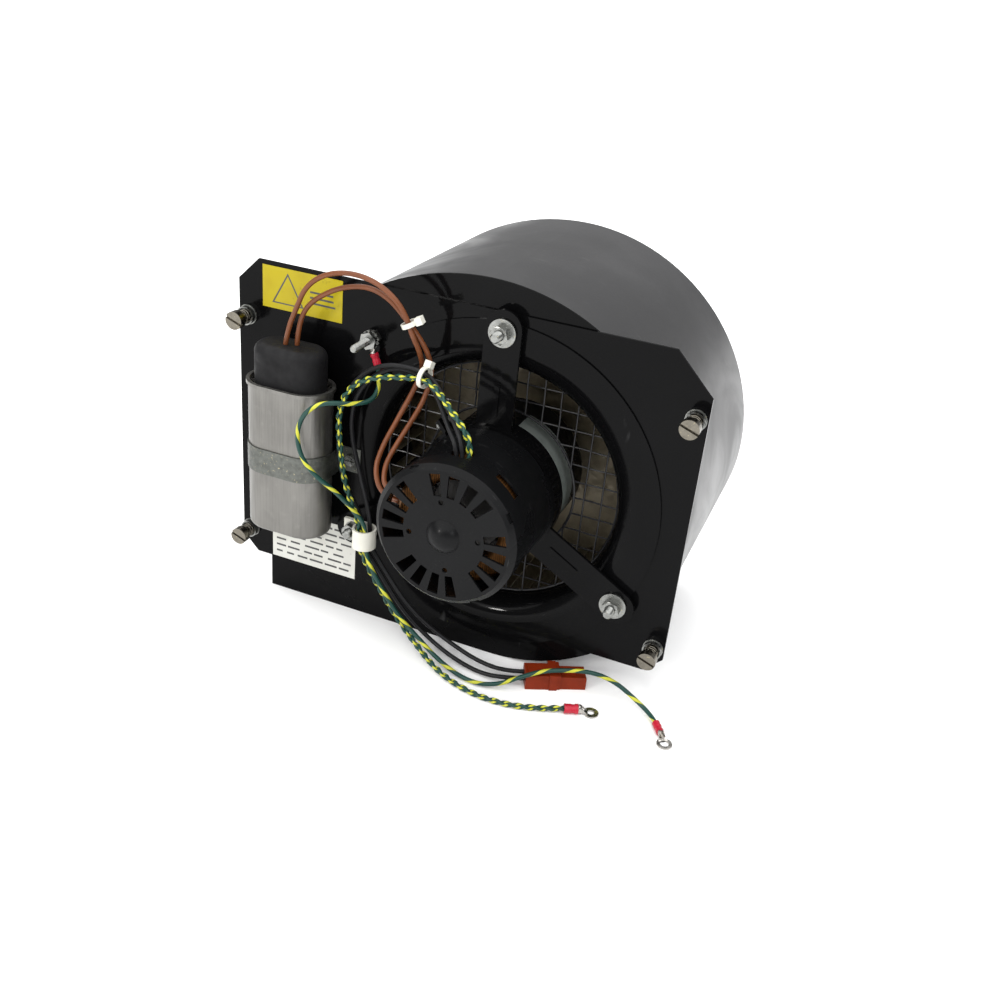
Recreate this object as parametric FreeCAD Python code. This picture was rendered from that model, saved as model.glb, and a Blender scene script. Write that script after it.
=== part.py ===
"""Direct-drive centrifugal blower: scroll housing, double-inlet wheel, motor in the front inlet, mounting plate,
run capacitor and wiring. Units are millimetres, +Z is up and the air leaves downwards through the outlet.

Shapes are drawn about the wheel's axis, with Y = 0 on the mounting plate's rear face and -Y towards the motor.
save() moves each one to the part's origin, the centre of the four fixing screws on that rear face."""
import FreeCAD, Part
import math
import os

os.makedirs("parts", exist_ok=True)
V = FreeCAD.Vector

# ---- driving dimensions -------------------------------------------------------------------------------------
# mounting plate, seen from the front with the wheel's axis at (0, 0)
plate_left = -174.2
plate_right = 119.9
plate_bottom = -92.8
plate_top = 109.6
plate_thickness = 1.5
chamfer_top_left = 14.0
chamfer_top_right = 23.0
chamfer_bottom = 11.0
# fixing screws
screw_x_left = -168.0
screw_x_right = 113.0
screw_z_low = -75.5
screw_z_high = 73.5
screw_radius = 2.5
screw_neck_radius = 2.0
screw_slot_width = 1.4
screw_slot_depth = 1.5
screw_neck_clearance = 0.3
screw_play = 0.3
screw_hole_radius = 3.8
screw_head_radius = 5.6
screw_head_height = 5.0
screw_head_gap = 11.0
screw_tip = 7.0
ferrule_radius = 6.2
ferrule_wall = 0.8
ferrule_height = 3.5
spring_radius = 4.2
spring_wire = 0.8
spring_turns = 5
# scroll housing
scroll_depth = 161.5
sheet = 1.2
scroll_left = -153.5
scroll_top = 126.5
scroll_right = 119.5
scroll_bottom = -117.0
scroll_centre_x = -12.0
scroll_centre_z = -5.0
lower_arc_radius = 112.0
tongue_arc_radius = 98.0
tongue_angle = 42.0
tongue_nose_radius = 5.0
# inlets
inlet_radius = 76.0
bell_radius = 14.0
inlet_lip = 4.7
ring_flange_radius = 104.4
ring_sheet = 1.2
plate_hole_clearance = 0.5
guard_pitch = 10.6
guard_wire = 1.2
guard_rim_wire = 1.7
guard_layer = 0.45
guard_shift = 0.13
guard_depth = 12.5
guard_motor_gap = 5.5
# wheel
wheel_radius = 95.0
wheel_bore_radius = 80.0
wheel_gap = 2.0
blade_count = 40
blade_sheet = 0.8
blade_arc_radius = 9.5
blade_lean = 20.0
wheel_disc_sheet = 1.4
hub_radius = 16.0
hub_length = 30.0
set_screw_radius = 2.4
set_screw_offset = 9.0
end_ring_sheet = 1.6
# motor
motor_radius = 41.5
motor_wall = 1.5
motor_front = -68.3
motor_rear = 46.0
endbell_depth = 11.0
endbell_sheet = 1.6
vent_steps = 20
vent_first_angle = 101.8
vent_radius = 30.8
vent_length = 13.0
vent_inner_width = 4.4
vent_outer_width = 6.6
small_hole_circle = 20.7
small_hole_angle = 97.1
small_hole_radius = 1.6
lead_exit_y = -46.0
stator_front = -36.0
stator_rear = 12.0
stator_bore = 22.5
winding_length = 13.0
air_gap = 0.5
shaft_radius = 4.75
shaft_clearance = 0.05
bearing_radius = 9.0
bearing_length = 10.0
cap_radius = 10.0
cap_height = 5.2
# motor bracket
band_front = -9.5
band_rear = 4.5
band_thickness = 2.0
arm_width = 22.0
arm_thickness = 2.0
arm_front = -7.5
arm_first_angle = 89.6
clamp_angle = 130.0
clamp_screw_radius = 1.7
stud_circle_radius = 99.7
foot_overhang = 13.0
arm_stud_radius = 3.0
arm_stud_tip = -20.0
nut_across_flats = 9.6
nut_height = 5.0
fender_radius = 8.2
fender_thickness = 1.6
# capacitor
can_right = -100.5
can_width = 54.0
can_depth = 33.0
can_bottom = -53.5
can_top = 44.5
can_wall = 1.0
boot_width = 46.0
boot_depth = 27.0
boot_height = 23.5
boot_wall = 2.0
strap_width = 16.4
strap_bottom = -13.0
strap_thickness = 0.8
strap_tab = 13.0
strap_screw_radius = 1.7
# labels, each left, right, bottom and top
label_sheet = 0.3
warning_label = (-157.3, -102.9, 81.3, 107.0)
rating_label = (-151.4, -89.0, -92.0, -55.0)
# ground stud
ground_x = -81.3
ground_z = 77.5
ground_radius = 2.4
ground_tip = -27.0
terminal_sheet = 0.9
terminal_eye = 4.7
terminal_neck = 2.0
terminal_barrel = 6.0
terminal_lap = 4.0
terminal_slack = 0.5
crimp_lift = 0.4
terminal_step = 1.2
sleeve_wall = 0.6
earth_hole_radius = 2.6
pair_hole_radius = 2.1
terminal_floor_gap = 0.25
ground_terminal_angle = -67.4
# cable clip on the third arm's stud
clip_loop_radius = 7.6
clip_thickness = 1.3
clip_width = 13.0
clip_offset = 10.7
# leads
lead_diameter = 2.8
brown_diameter = 3.0
pair_diameter = 4.0
# ties
tie_width = 2.6
tie_wall = 0.9
brown_tie_radius = 4.1
harness_tie_radius = 5.4
# connector lying on the floor
connector_x = 44.0
connector_y = -25.0
connector_turn = 27.0
connector_length = 38.0
connector_depth = 16.0
connector_height = 11.0

# ---- values that follow -------------------------------------------------------------------------------------
plate_front = -plate_thickness
cap_x = can_right - can_width / 2
guard_inner_radius = motor_radius + guard_motor_gap
origin_x = (screw_x_left + screw_x_right) / 2
origin_z = (screw_z_low + screw_z_high) / 2
bell_start_radius = inlet_radius + bell_radius
plate_hole_radius = bell_start_radius + plate_hole_clearance
flange_front = plate_front - ring_sheet
bell_end = flange_front + bell_radius
throat_end = bell_end + inlet_lip
STRAP_FEET = ((-1, plate_front), (1, flange_front))  # the right foot stands on the inlet ring's flange
wheel_front = throat_end + wheel_gap
wheel_rear = scroll_depth - plate_thickness - wheel_front
wheel_middle = (wheel_front + wheel_rear) / 2
shaft_front = motor_front + 6.0
shaft_rear = wheel_middle + hub_length / 2 + 4.0
arm_back = arm_front + arm_thickness
band_radius = motor_radius + band_thickness
endbell_rear = motor_front + endbell_depth
nut_corner_radius = nut_across_flats / math.sqrt(3)
head_back = plate_front - screw_head_gap
cup_front = plate_front - ferrule_wall - ferrule_height
can_middle_y = plate_front - can_depth / 2
clamp_y = (band_front + band_rear) / 2
set_screw_y = wheel_middle + set_screw_offset
strap_middle = strap_bottom + strap_width / 2
ground_terminal_y = plate_front - 2.6 - 0.8
SCREWS = {
    "upper_left": (screw_x_left, screw_z_high),
    "upper_right": (screw_x_right, screw_z_high),
    "lower_left": (screw_x_left, screw_z_low),
    "lower_right": (screw_x_right, screw_z_low),
}
ARM_ANGLES = [arm_first_angle + 120 * n for n in range(3)]


# ---- helpers ------------------------------------------------------------------------------------------------
def save(node, shape):
    """Writes one node's STEP, moved from the wheel's axis to the part's origin."""
    moved = shape.copy()
    moved.translate(V(-origin_x, 0, -origin_z))
    moved.exportStep("parts/" + node + ".step")
    print(f"{node:24s} solids {len(moved.Solids):3d}  valid {moved.isValid()}  volume {moved.Volume:10.1f}")


def box(x0, x1, y0, y1, z0, z1):
    return Part.makeBox(x1 - x0, y1 - y0, z1 - z0, V(x0, y0, z0))


def rod(radius, y0, y1, x=0.0, z=0.0):
    """A round bar along Y."""
    return Part.makeCylinder(radius, y1 - y0, V(x, y0, z), V(0, 1, 0))


def pipe(outer, inner, y0, y1, x=0.0, z=0.0):
    """A round tube along Y."""
    return rod(outer, y0, y1, x, z).cut(rod(inner, y0 - 1, y1 + 1, x, z))


def polar(radius, degrees):
    """The point at this radius and angle about the wheel's axis, as (x, z)."""
    angle = math.radians(degrees)
    return radius * math.cos(angle), radius * math.sin(angle)


def slab(outline, y0, y1):
    """A flat sheet: the closed outline of (x, z) points, from y0 to y1."""
    points = [V(x, y0, z) for x, z in outline]
    face = Part.Face(Part.makePolygon(points + points[:1]))
    return face.extrude(V(0, y1 - y0, 0))


def turned(profile):
    """A solid of revolution about Y from a closed list of (radius, y) points."""
    points = [V(r, y, 0) for r, y in profile]
    face = Part.Face(Part.makePolygon(points + points[:1]))
    return face.revolve(V(0, 0, 0), V(0, 1, 0), 360)


def spun(shape, degrees, x=0.0, z=0.0):
    """A copy turned about an axis along Y, anticlockwise as seen from the front."""
    copy = shape.copy()
    copy.rotate(V(x, 0, z), V(0, -1, 0), degrees)
    return copy


def hexagon(across_flats, y0, y1, x, z, turn=0.0):
    corner = across_flats / math.sqrt(3)
    outline = []
    for n in range(6):
        dx, dz = polar(corner, turn + 60 * n)
        outline.append((x + dx, z + dz))
    return slab(outline, y0, y1)


def fuse(shapes):
    return shapes[0].multiFuse(shapes[1:]).removeSplitter()


def stadium(width, depth, z0, z1, x, y):
    """An upright bar with a flat front and back and half-round sides."""
    radius = depth / 2
    half = width / 2 - radius
    left, right = x - half, x + half
    edges = [
        Part.makeLine(V(left, y - radius, z0), V(right, y - radius, z0)),
        Part.Arc(V(right, y - radius, z0), V(right + radius, y, z0), V(right, y + radius, z0)).toShape(),
        Part.makeLine(V(right, y + radius, z0), V(left, y + radius, z0)),
        Part.Arc(V(left, y + radius, z0), V(left - radius, y, z0), V(left, y - radius, z0)).toShape(),
    ]
    return Part.Face(Part.Wire(edges)).extrude(V(0, 0, z1 - z0))


# ---- scroll outline -----------------------------------------------------------------------------------------
def line(x0, z0, x1, z1):
    return ("line", (x0, z0), (x1, z1))


def arc(x, z, radius, start, end):
    return ("arc", (x, z), radius, start, end)


def arc_point(x, z, radius, degrees):
    dx, dz = polar(radius, degrees)
    return x + dx, z + dz


def inset(segment, distance):
    """The same segment moved to its right-hand side, which is the inside of the scroll."""
    if segment[0] == "line":
        (x0, z0), (x1, z1) = segment[1:]
        length = math.hypot(x1 - x0, z1 - z0)
        dx, dz = (z1 - z0) / length * distance, (x0 - x1) / length * distance
        return line(x0 + dx, z0 + dz, x1 + dx, z1 + dz)
    _, centre, radius, start, end = segment
    inward = -distance if end < start else distance
    return arc(*centre, radius + inward, start, end)


def edge(segment, y):
    if segment[0] == "line":
        (x0, z0), (x1, z1) = segment[1:]
        return Part.makeLine(V(x0, y, z0), V(x1, y, z1))
    _, centre, radius, start, end = segment
    points = [arc_point(*centre, radius, angle) for angle in (start, (start + end) / 2, end)]
    return Part.Arc(*[V(px, y, pz) for px, pz in points]).toShape()


def start_of(segment):
    return segment[1] if segment[0] == "line" else arc_point(*segment[1], segment[2], segment[3])


def end_of(segment):
    return segment[2] if segment[0] == "line" else arc_point(*segment[1], segment[2], segment[4])


left_arc_radius = scroll_centre_x - scroll_left
left_arc_z = scroll_top - left_arc_radius
top_arc_radius = scroll_top - scroll_centre_z
right_arc_x = scroll_right - lower_arc_radius
upper_right_radius = scroll_right - scroll_centre_x
lower_arc_z = scroll_bottom + lower_arc_radius
tongue_z = scroll_bottom + tongue_arc_radius
tongue_end = arc_point(right_arc_x, tongue_z, tongue_arc_radius, -90 - tongue_angle)
nose_heading = 180 - tongue_angle
nose_x, nose_z = arc_point(*tongue_end, tongue_nose_radius, nose_heading + 90)
nose_left = nose_x - tongue_nose_radius

# the scroll's wall, from the outlet's left lip up, round the top and the right side, and in to the tongue
HOUSING_PATH = [
    line(scroll_left, scroll_bottom, scroll_left, left_arc_z),
    arc(scroll_centre_x, left_arc_z, left_arc_radius, 180, 90),
    arc(scroll_centre_x, scroll_top - upper_right_radius, upper_right_radius, 90, 0),
    line(scroll_right, scroll_top - upper_right_radius, scroll_right, lower_arc_z),
    arc(right_arc_x, lower_arc_z, lower_arc_radius, 0, -90),
]
TONGUE_PATH = [
    arc(right_arc_x, tongue_z, tongue_arc_radius, -90, -90 - tongue_angle),
    arc(nose_x, nose_z, tongue_nose_radius, 90 - tongue_angle, 180),
    line(nose_left, nose_z, nose_left, scroll_bottom),
]


def length_of(segment):
    x0, z0 = start_of(segment)
    x1, z1 = end_of(segment)
    return math.hypot(x1 - x0, z1 - z0)


def side_outline(y):
    """The side plates' outline: the wall's outer edge, closed along the flat base."""
    path = [segment for segment in HOUSING_PATH if length_of(segment) > 0.01]
    edges = [edge(segment, y) for segment in path]
    x0, z0 = end_of(path[-1])
    x1, z1 = start_of(path[0])
    edges.append(Part.makeLine(V(x0, y, z0), V(x1, y, z1)))
    return Part.Face(Part.Wire(edges))


def scroll_wall(y0, y1):
    outer = [segment for segment in HOUSING_PATH + TONGUE_PATH if length_of(segment) > 0.01]
    inner = [inset(segment, sheet) for segment in outer]
    edges = [edge(segment, y0) for segment in outer]
    edges.append(Part.makeLine(V(end_of(outer[-1])[0], y0, end_of(outer[-1])[1]),
                               V(end_of(inner[-1])[0], y0, end_of(inner[-1])[1])))
    edges.extend(edge(segment, y0) for segment in reversed(inner))
    edges.append(Part.makeLine(V(start_of(inner[0])[0], y0, start_of(inner[0])[1]),
                               V(start_of(outer[0])[0], y0, start_of(outer[0])[1])))
    wire = Part.Wire(Part.__sortEdges__(edges))
    return Part.Face(wire).extrude(V(0, y1 - y0, 0))


# ---- housing ------------------------------------------------------------------------------------------------
def mounting_plate():
    outline = [
        (plate_left + chamfer_top_left, plate_top),
        (plate_right - chamfer_top_right, plate_top),
        (plate_right, plate_top - chamfer_top_right),
        (plate_right, plate_bottom + chamfer_bottom),
        (plate_right - chamfer_bottom, plate_bottom),
        (plate_left + chamfer_bottom, plate_bottom),
        (plate_left, plate_bottom + chamfer_bottom),
        (plate_left, plate_top - chamfer_top_left),
    ]
    plate = slab(outline, plate_front, 0)
    holes = [rod(plate_hole_radius, plate_front - 1, 1)]
    holes += [rod(screw_hole_radius, plate_front - 1, 1, x, z) for x, z in SCREWS.values()]
    holes += [rod(arm_stud_radius, plate_front - 1, 1, *polar(stud_circle_radius, a)) for a in ARM_ANGLES]
    holes.append(rod(ground_radius, plate_front - 1, 1, ground_x, ground_z))
    holes += [rod(strap_screw_radius, plate_front - 1, 1, x, strap_middle) for x in strap_screw_places()]
    return plate.cut(Part.makeCompound(holes))


def side_plate(y0, y1, stud_holes):
    plate = side_outline(y0).extrude(V(0, y1 - y0, 0))
    holes = [rod(plate_hole_radius, y0 - 1, y1 + 1)]
    if stud_holes:
        holes += [rod(arm_stud_radius, y0 - 1, y1 + 1, *polar(stud_circle_radius, a)) for a in ARM_ANGLES]
        holes.append(rod(ground_radius, y0 - 1, y1 + 1, ground_x, ground_z))
        holes += [rod(strap_screw_radius, y0 - 1, y1 + 1, x, strap_middle) for x in strap_screw_places()]
    return plate.cut(Part.makeCompound(holes))


def inlet_ring():
    """A spun ring: a flat flange outside, curving in to the throat."""
    y0 = flange_front
    outer_bell = bell_radius - ring_sheet
    slant = math.sqrt(0.5)
    edges = [
        Part.makeLine(V(ring_flange_radius, y0, 0), V(bell_start_radius, y0, 0)),
        Part.Arc(V(bell_start_radius, y0, 0),
                 V(bell_start_radius - bell_radius * slant, bell_end - bell_radius * slant, 0),
                 V(inlet_radius, bell_end, 0)).toShape(),
        Part.makeLine(V(inlet_radius, bell_end, 0), V(inlet_radius, throat_end, 0)),
        Part.makeLine(V(inlet_radius, throat_end, 0), V(inlet_radius + ring_sheet, throat_end, 0)),
        Part.makeLine(V(inlet_radius + ring_sheet, throat_end, 0), V(inlet_radius + ring_sheet, bell_end, 0)),
        Part.Arc(V(inlet_radius + ring_sheet, bell_end, 0),
                 V(bell_start_radius - outer_bell * slant, bell_end - outer_bell * slant, 0),
                 V(bell_start_radius, y0 + ring_sheet, 0)).toShape(),
        Part.makeLine(V(bell_start_radius, y0 + ring_sheet, 0), V(ring_flange_radius, y0 + ring_sheet, 0)),
        Part.makeLine(V(ring_flange_radius, y0 + ring_sheet, 0), V(ring_flange_radius, y0, 0)),
    ]
    return Part.Face(Part.Wire(edges)).revolve(V(0, 0, 0), V(0, 1, 0), 360)


def front_inlet_ring():
    holes = [rod(arm_stud_radius, flange_front - 1, 1, *polar(stud_circle_radius, a)) for a in ARM_ANGLES]
    holes.append(rod(strap_screw_radius, flange_front - 1, 1, strap_screw_places()[1], strap_middle))
    return inlet_ring().cut(Part.makeCompound(holes))


def rear_inlet_ring():
    ring = inlet_ring()
    ring.rotate(V(0, (scroll_depth - plate_thickness) / 2, 0), V(0, 0, 1), 180)
    return ring


def inlet_guard():
    """A welded mesh across the throat, with a rim outside and one round the motor.
    The wires are square here, and the upright ones lie a little in front of the level ones."""
    rim = inlet_radius - guard_rim_wire
    half_wire = guard_wire / 2
    level_y = guard_depth + guard_layer
    upright_y = guard_depth - guard_layer
    reach = rim + guard_rim_wire / 2
    inner_reach = guard_inner_radius + guard_rim_wire / 2
    wires = []
    steps = int((reach - guard_wire) // guard_pitch)
    for n in range(-steps, steps + 1):
        at = (n + guard_shift) * guard_pitch
        half = math.sqrt(reach * reach - at * at)
        gap = math.sqrt(max(inner_reach ** 2 - at * at, 0.0))
        spans = [(-half, -gap), (gap, half)] if gap > 0 else [(-half, half)]
        for a, b in spans:
            wires.append(box(a, b, level_y - half_wire, level_y + half_wire, at - half_wire, at + half_wire))
            wires.append(box(at - half_wire, at + half_wire, upright_y - half_wire, upright_y + half_wire, a, b))
    y0, y1 = guard_depth - guard_rim_wire / 2, guard_depth + guard_rim_wire / 2
    rims = [pipe(r + guard_rim_wire, r, y0, y1) for r in (rim, guard_inner_radius)]
    return rims[0].multiFuse(rims[1:] + wires)


# ---- motor bracket ------------------------------------------------------------------------------------------
def motor_band():
    band = pipe(band_radius, motor_radius, band_front, band_rear)
    ears = box(band_radius - 1, band_radius + 8, band_front + 2, band_rear - 2, -3.5, 3.5)
    split = box(motor_radius - 1, band_radius + 9, band_front - 1, band_rear + 1, -1.2, 1.2)
    inside = rod(motor_radius + 0.5, band_front - 1, band_rear + 1)
    clamp = fuse([band, ears.cut(inside)]).cut(split)
    hole = Part.makeCylinder(clamp_screw_radius, 20, V(band_radius + 4.5, clamp_y, -10), V(0, 0, 1))
    return spun(clamp.cut(hole), clamp_angle)


def band_clamp_screw():
    x = band_radius + 4.5
    shank = Part.makeCylinder(clamp_screw_radius, 12, V(x, clamp_y, -6), V(0, 0, 1))
    head = Part.makeCylinder(3.2, 2.5, V(x, clamp_y, 3.5), V(0, 0, 1))
    nut = Part.makeCylinder(3.2, 2.4, V(x, clamp_y, -5.9), V(0, 0, 1))
    return spun(fuse([shank, head, nut]), clamp_angle)


def bracket_arm(angle):
    """A flat arm with a pressed rib, round at its foot and shaped to the band at its root."""
    reach = stud_circle_radius + foot_overhang
    end = reach - arm_width / 2
    arm = box(band_radius - 6, end, arm_front, arm_back, -arm_width / 2, arm_width / 2)
    foot = rod(arm_width / 2, arm_front, arm_back, end, 0)
    rib = box(band_radius + 6, band_radius + 27, arm_front - 0.8, arm_front, -1.6, 1.6)
    solid = fuse([arm, foot, rib])
    solid = solid.cut(rod(band_radius, arm_front - 2, arm_back + 2))
    solid = solid.cut(rod(arm_stud_radius, arm_front - 1, arm_back + 1, stud_circle_radius, 0))
    return spun(solid, angle)


def arm_stud(angle):
    x, z = polar(stud_circle_radius, angle)
    shank = rod(arm_stud_radius, arm_stud_tip, sheet, x, z)
    head = rod(arm_stud_radius + 2.5, sheet, sheet + 1.8, x, z)
    return fuse([shank, head])


def arm_nut(angle, back):
    x, z = polar(stud_circle_radius, angle)
    nut = hexagon(nut_across_flats, back - nut_height, back, x, z, angle + 15)
    return nut.cut(rod(arm_stud_radius, back - nut_height - 1, back + 1, x, z))


def fastener_ring(outer, inner, y0, y1, angle):
    return pipe(outer, inner, y0, y1, *polar(stud_circle_radius, angle))


# ---- motor --------------------------------------------------------------------------------------------------
def motor_shell():
    shell = pipe(motor_radius, motor_radius - motor_wall, endbell_rear, motor_rear)
    slot = box(motor_radius - 6, motor_radius + 2, endbell_rear + 5, endbell_rear + 12, -8, 8)
    lead_hole = Part.makeCylinder(6.4, 12, V(motor_radius - 8, lead_exit_y, 0), V(1, 0, 0))
    cuts = [spun(slot, 48), spun(lead_hole, 92), spun(lead_hole, 176)]
    return shell.cut(Part.makeCompound(cuts))


def vent_slot(step):
    inner = vent_radius - vent_length / 2
    outer = vent_radius + vent_length / 2
    outline = [(inner, -vent_inner_width / 2), (outer, -vent_outer_width / 2),
               (outer, vent_outer_width / 2), (inner, vent_inner_width / 2)]
    slot = slab(outline, motor_front - 1, motor_front + endbell_sheet + 1)
    return spun(slot, vent_first_angle - step * 360 / vent_steps)


def front_endbell():
    """A pressed cup with vent slots, a rounded rim and a bearing pocket."""
    r = motor_radius + 0.9
    t = endbell_sheet
    bend = 3.0
    cup = turned([(0, motor_front), (r - bend, motor_front), (r, motor_front + bend), (r, endbell_rear + 4),
                  (motor_radius, endbell_rear + 4), (motor_radius, endbell_rear),
                  (motor_radius - motor_wall, endbell_rear), (motor_radius - motor_wall, motor_front + t),
                  (0, motor_front + t)])
    pocket = rod(bearing_radius + 2, motor_front + t, motor_front + t + bearing_length + 2)
    cup = fuse([cup, pocket])
    cuts = [vent_slot(step) for step in range(vent_steps) if step % 5 != 4]
    cuts.append(rod(bearing_radius, motor_front + 2, motor_front + 40))
    cuts.append(rod(shaft_radius + 1, motor_front - 1, motor_front + 3))
    for n in range(4):
        x, z = polar(small_hole_circle, small_hole_angle - 90 * n)
        cuts.append(rod(small_hole_radius, motor_front - 1, motor_front + t + 1, x, z))
        notch = box(r - 1.2, r + 1, motor_front - 1, motor_front + 4.5, -3, 3)
        cuts.append(spun(notch, vent_first_angle - (4 + 5 * n) * 360 / vent_steps))
    return cup.cut(Part.makeCompound(cuts))


def rear_endbell():
    r = motor_radius
    t = endbell_sheet
    return turned([(shaft_radius + 1, motor_rear + t), (r - 2, motor_rear + t), (r, motor_rear + 0.3),
                   (r, motor_rear), (r - motor_wall, motor_rear), (r - motor_wall, motor_rear - 8),
                   (r - 2 * motor_wall, motor_rear - 8), (r - 2 * motor_wall, motor_rear),
                   (bearing_radius + 2, motor_rear), (bearing_radius + 2, motor_rear - bearing_length),
                   (bearing_radius, motor_rear - bearing_length), (bearing_radius, motor_rear),
                   (shaft_radius + 1, motor_rear)])


def bearing_cap():
    """The domed cap over the front bearing."""
    y0 = motor_front
    dome_radius = (cap_radius ** 2 + cap_height ** 2) / (2 * cap_height)
    ball = Part.makeSphere(dome_radius, V(0, y0 - cap_height + dome_radius, 0))
    dome = ball.common(rod(cap_radius + 1, y0 - cap_height - 1, y0))
    inner = Part.makeSphere(dome_radius - 1.2, V(0, y0 - cap_height + dome_radius, 0))
    return dome.cut(inner)


def stator_core():
    core = pipe(motor_radius - motor_wall, stator_bore, stator_front, stator_rear)
    slots = []
    for n in range(24):
        slot = box(stator_bore - 1, stator_bore + 9, stator_front - 1, stator_rear + 1, -1.2, 1.2)
        slots.append(spun(slot, 15 * n))
    return core.cut(Part.makeCompound(slots))


def stator_windings():
    """The two end turns, one each side of the core."""
    rings = []
    for y, side in ((stator_front, -1), (stator_rear, 1)):
        near, far = sorted((y, y + side * winding_length))
        ring = pipe(motor_radius - motor_wall - 2, stator_bore + 2, near, far)
        edges = [e for e in ring.Edges if abs(e.CenterOfMass.y - (y + side * winding_length)) < 0.01]
        rings.append(ring.makeFillet(3.5, edges))
    return Part.makeCompound(rings)


def motor_bearings():
    front = pipe(bearing_radius, shaft_radius + shaft_clearance, motor_front + 3, motor_front + 3 + bearing_length)
    rear = pipe(bearing_radius, shaft_radius + shaft_clearance, motor_rear - bearing_length, motor_rear)
    return Part.makeCompound([front, rear])


# ---- rotor and wheel ----------------------------------------------------------------------------------------
def motor_shaft():
    shaft = rod(shaft_radius, shaft_front, shaft_rear)
    flat = box(shaft_radius - 0.8, shaft_radius + 1, wheel_middle - hub_length / 2 - 4, shaft_rear + 1, -6, 6)
    return shaft.cut(flat)


def rotor_core():
    return pipe(stator_bore - air_gap, shaft_radius, stator_front, stator_rear)


def wheel_hub():
    hub = rod(hub_radius, wheel_middle - hub_length / 2, wheel_middle + hub_length / 2)
    bore = rod(shaft_radius, wheel_middle - hub_length, wheel_middle + hub_length)
    flat = box(shaft_radius - 0.8, shaft_radius + 1, wheel_middle - hub_length, wheel_middle + hub_length, -6, 6)
    tapped = Part.makeCylinder(set_screw_radius, hub_radius, V(0, set_screw_y, 0), V(1, 0, 0))
    return hub.cut(bore.cut(flat)).cut(tapped)


def hub_set_screw():
    start = shaft_radius - 0.8
    screw = Part.makeCylinder(set_screw_radius, hub_radius - start - 2, V(start, set_screw_y, 0), V(1, 0, 0))
    socket = Part.makeCylinder(1.2, 3, V(hub_radius - 4, set_screw_y, 0), V(1, 0, 0))
    return screw.cut(socket)


def wheel_disc():
    half = wheel_disc_sheet / 2
    disc = rod(wheel_radius, wheel_middle - half, wheel_middle + half)
    return disc.cut(rod(hub_radius, wheel_middle - 2, wheel_middle + 2))


def blade_section(y0, y1):
    """One forward-curved blade from y0 to y1, hollow towards the turning direction."""
    middle = (wheel_bore_radius + wheel_radius) / 2
    half = (wheel_radius - wheel_bore_radius) / 2 - 0.4
    rise = blade_arc_radius - math.sqrt(blade_arc_radius ** 2 - half ** 2)
    outer = [V(middle - half, y0, 0), V(middle, y0, -rise), V(middle + half, y0, 0)]
    inner = [V(middle + half, y0, blade_sheet), V(middle, y0, blade_sheet - rise), V(middle - half, y0, blade_sheet)]
    edges = [Part.Arc(*outer).toShape(), Part.makeLine(outer[2], inner[0]),
             Part.Arc(*inner).toShape(), Part.makeLine(inner[2], outer[0])]
    blade = Part.Face(Part.Wire(edges)).extrude(V(0, y1 - y0, 0))
    blade.rotate(V(middle, 0, 0), V(0, -1, 0), blade_lean)
    return blade


def wheel_blades():
    half = wheel_disc_sheet / 2
    spans = [(wheel_front + end_ring_sheet, wheel_middle - half), (wheel_middle + half, wheel_rear - end_ring_sheet)]
    blades = []
    for y0, y1 in spans:
        blade = blade_section(y0, y1)
        blades += [spun(blade, n * 360 / blade_count) for n in range(blade_count)]
    return Part.makeCompound(blades)


def wheel_end_rings():
    front = pipe(wheel_radius + 1, wheel_bore_radius - 1, wheel_front, wheel_front + end_ring_sheet)
    rear = pipe(wheel_radius + 1, wheel_bore_radius - 1, wheel_rear - end_ring_sheet, wheel_rear)
    return Part.makeCompound([front, rear])


# ---- fixing screws ------------------------------------------------------------------------------------------
def ferrule(x, z):
    flange = rod(ferrule_radius, plate_front - ferrule_wall, plate_front, x, z)
    cup = pipe(ferrule_radius - 0.4, ferrule_radius - 0.4 - ferrule_wall, cup_front, plate_front - ferrule_wall, x, z)
    return fuse([flange, cup]).cut(rod(screw_neck_radius + screw_neck_clearance, cup_front - 1, 1, x, z))


def fixing_screw(x, z):
    """A slotted captive screw: its thread is wider than the ferrule's bore, which keeps it in."""
    head = rod(screw_head_radius, head_back - screw_head_height, head_back, x, z)
    head_front = head_back - screw_head_height
    slot = box(x - 10, x + 10, head_front - 1, head_front + screw_slot_depth,
               z - screw_slot_width / 2, z + screw_slot_width / 2)
    slot.rotate(V(x, 0, z), V(0, 1, 0), 20)
    thread_front = plate_front + screw_play
    neck = rod(screw_neck_radius, head_back, thread_front, x, z)
    thread = rod(screw_radius, thread_front, screw_tip, x, z)
    return fuse([head, neck, thread]).cut(slot)


def screw_spring(x, z):
    """The coil between the head and the plate, as an open spring along the screw."""
    length = screw_head_gap - ferrule_wall - spring_wire
    helix = Part.makeHelix(length / spring_turns, length, spring_radius - spring_wire / 2)
    start = V(spring_radius - spring_wire / 2, 0, 0)
    section = Part.Wire(Part.makeCircle(spring_wire / 2, start, V(0, 1, 0)))
    coil = Part.Wire(helix).makePipeShell([section], True, True)
    coil.rotate(V(0, 0, 0), V(1, 0, 0), -90)
    coil.translate(V(x, head_back + spring_wire / 2, z))
    return coil


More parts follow.
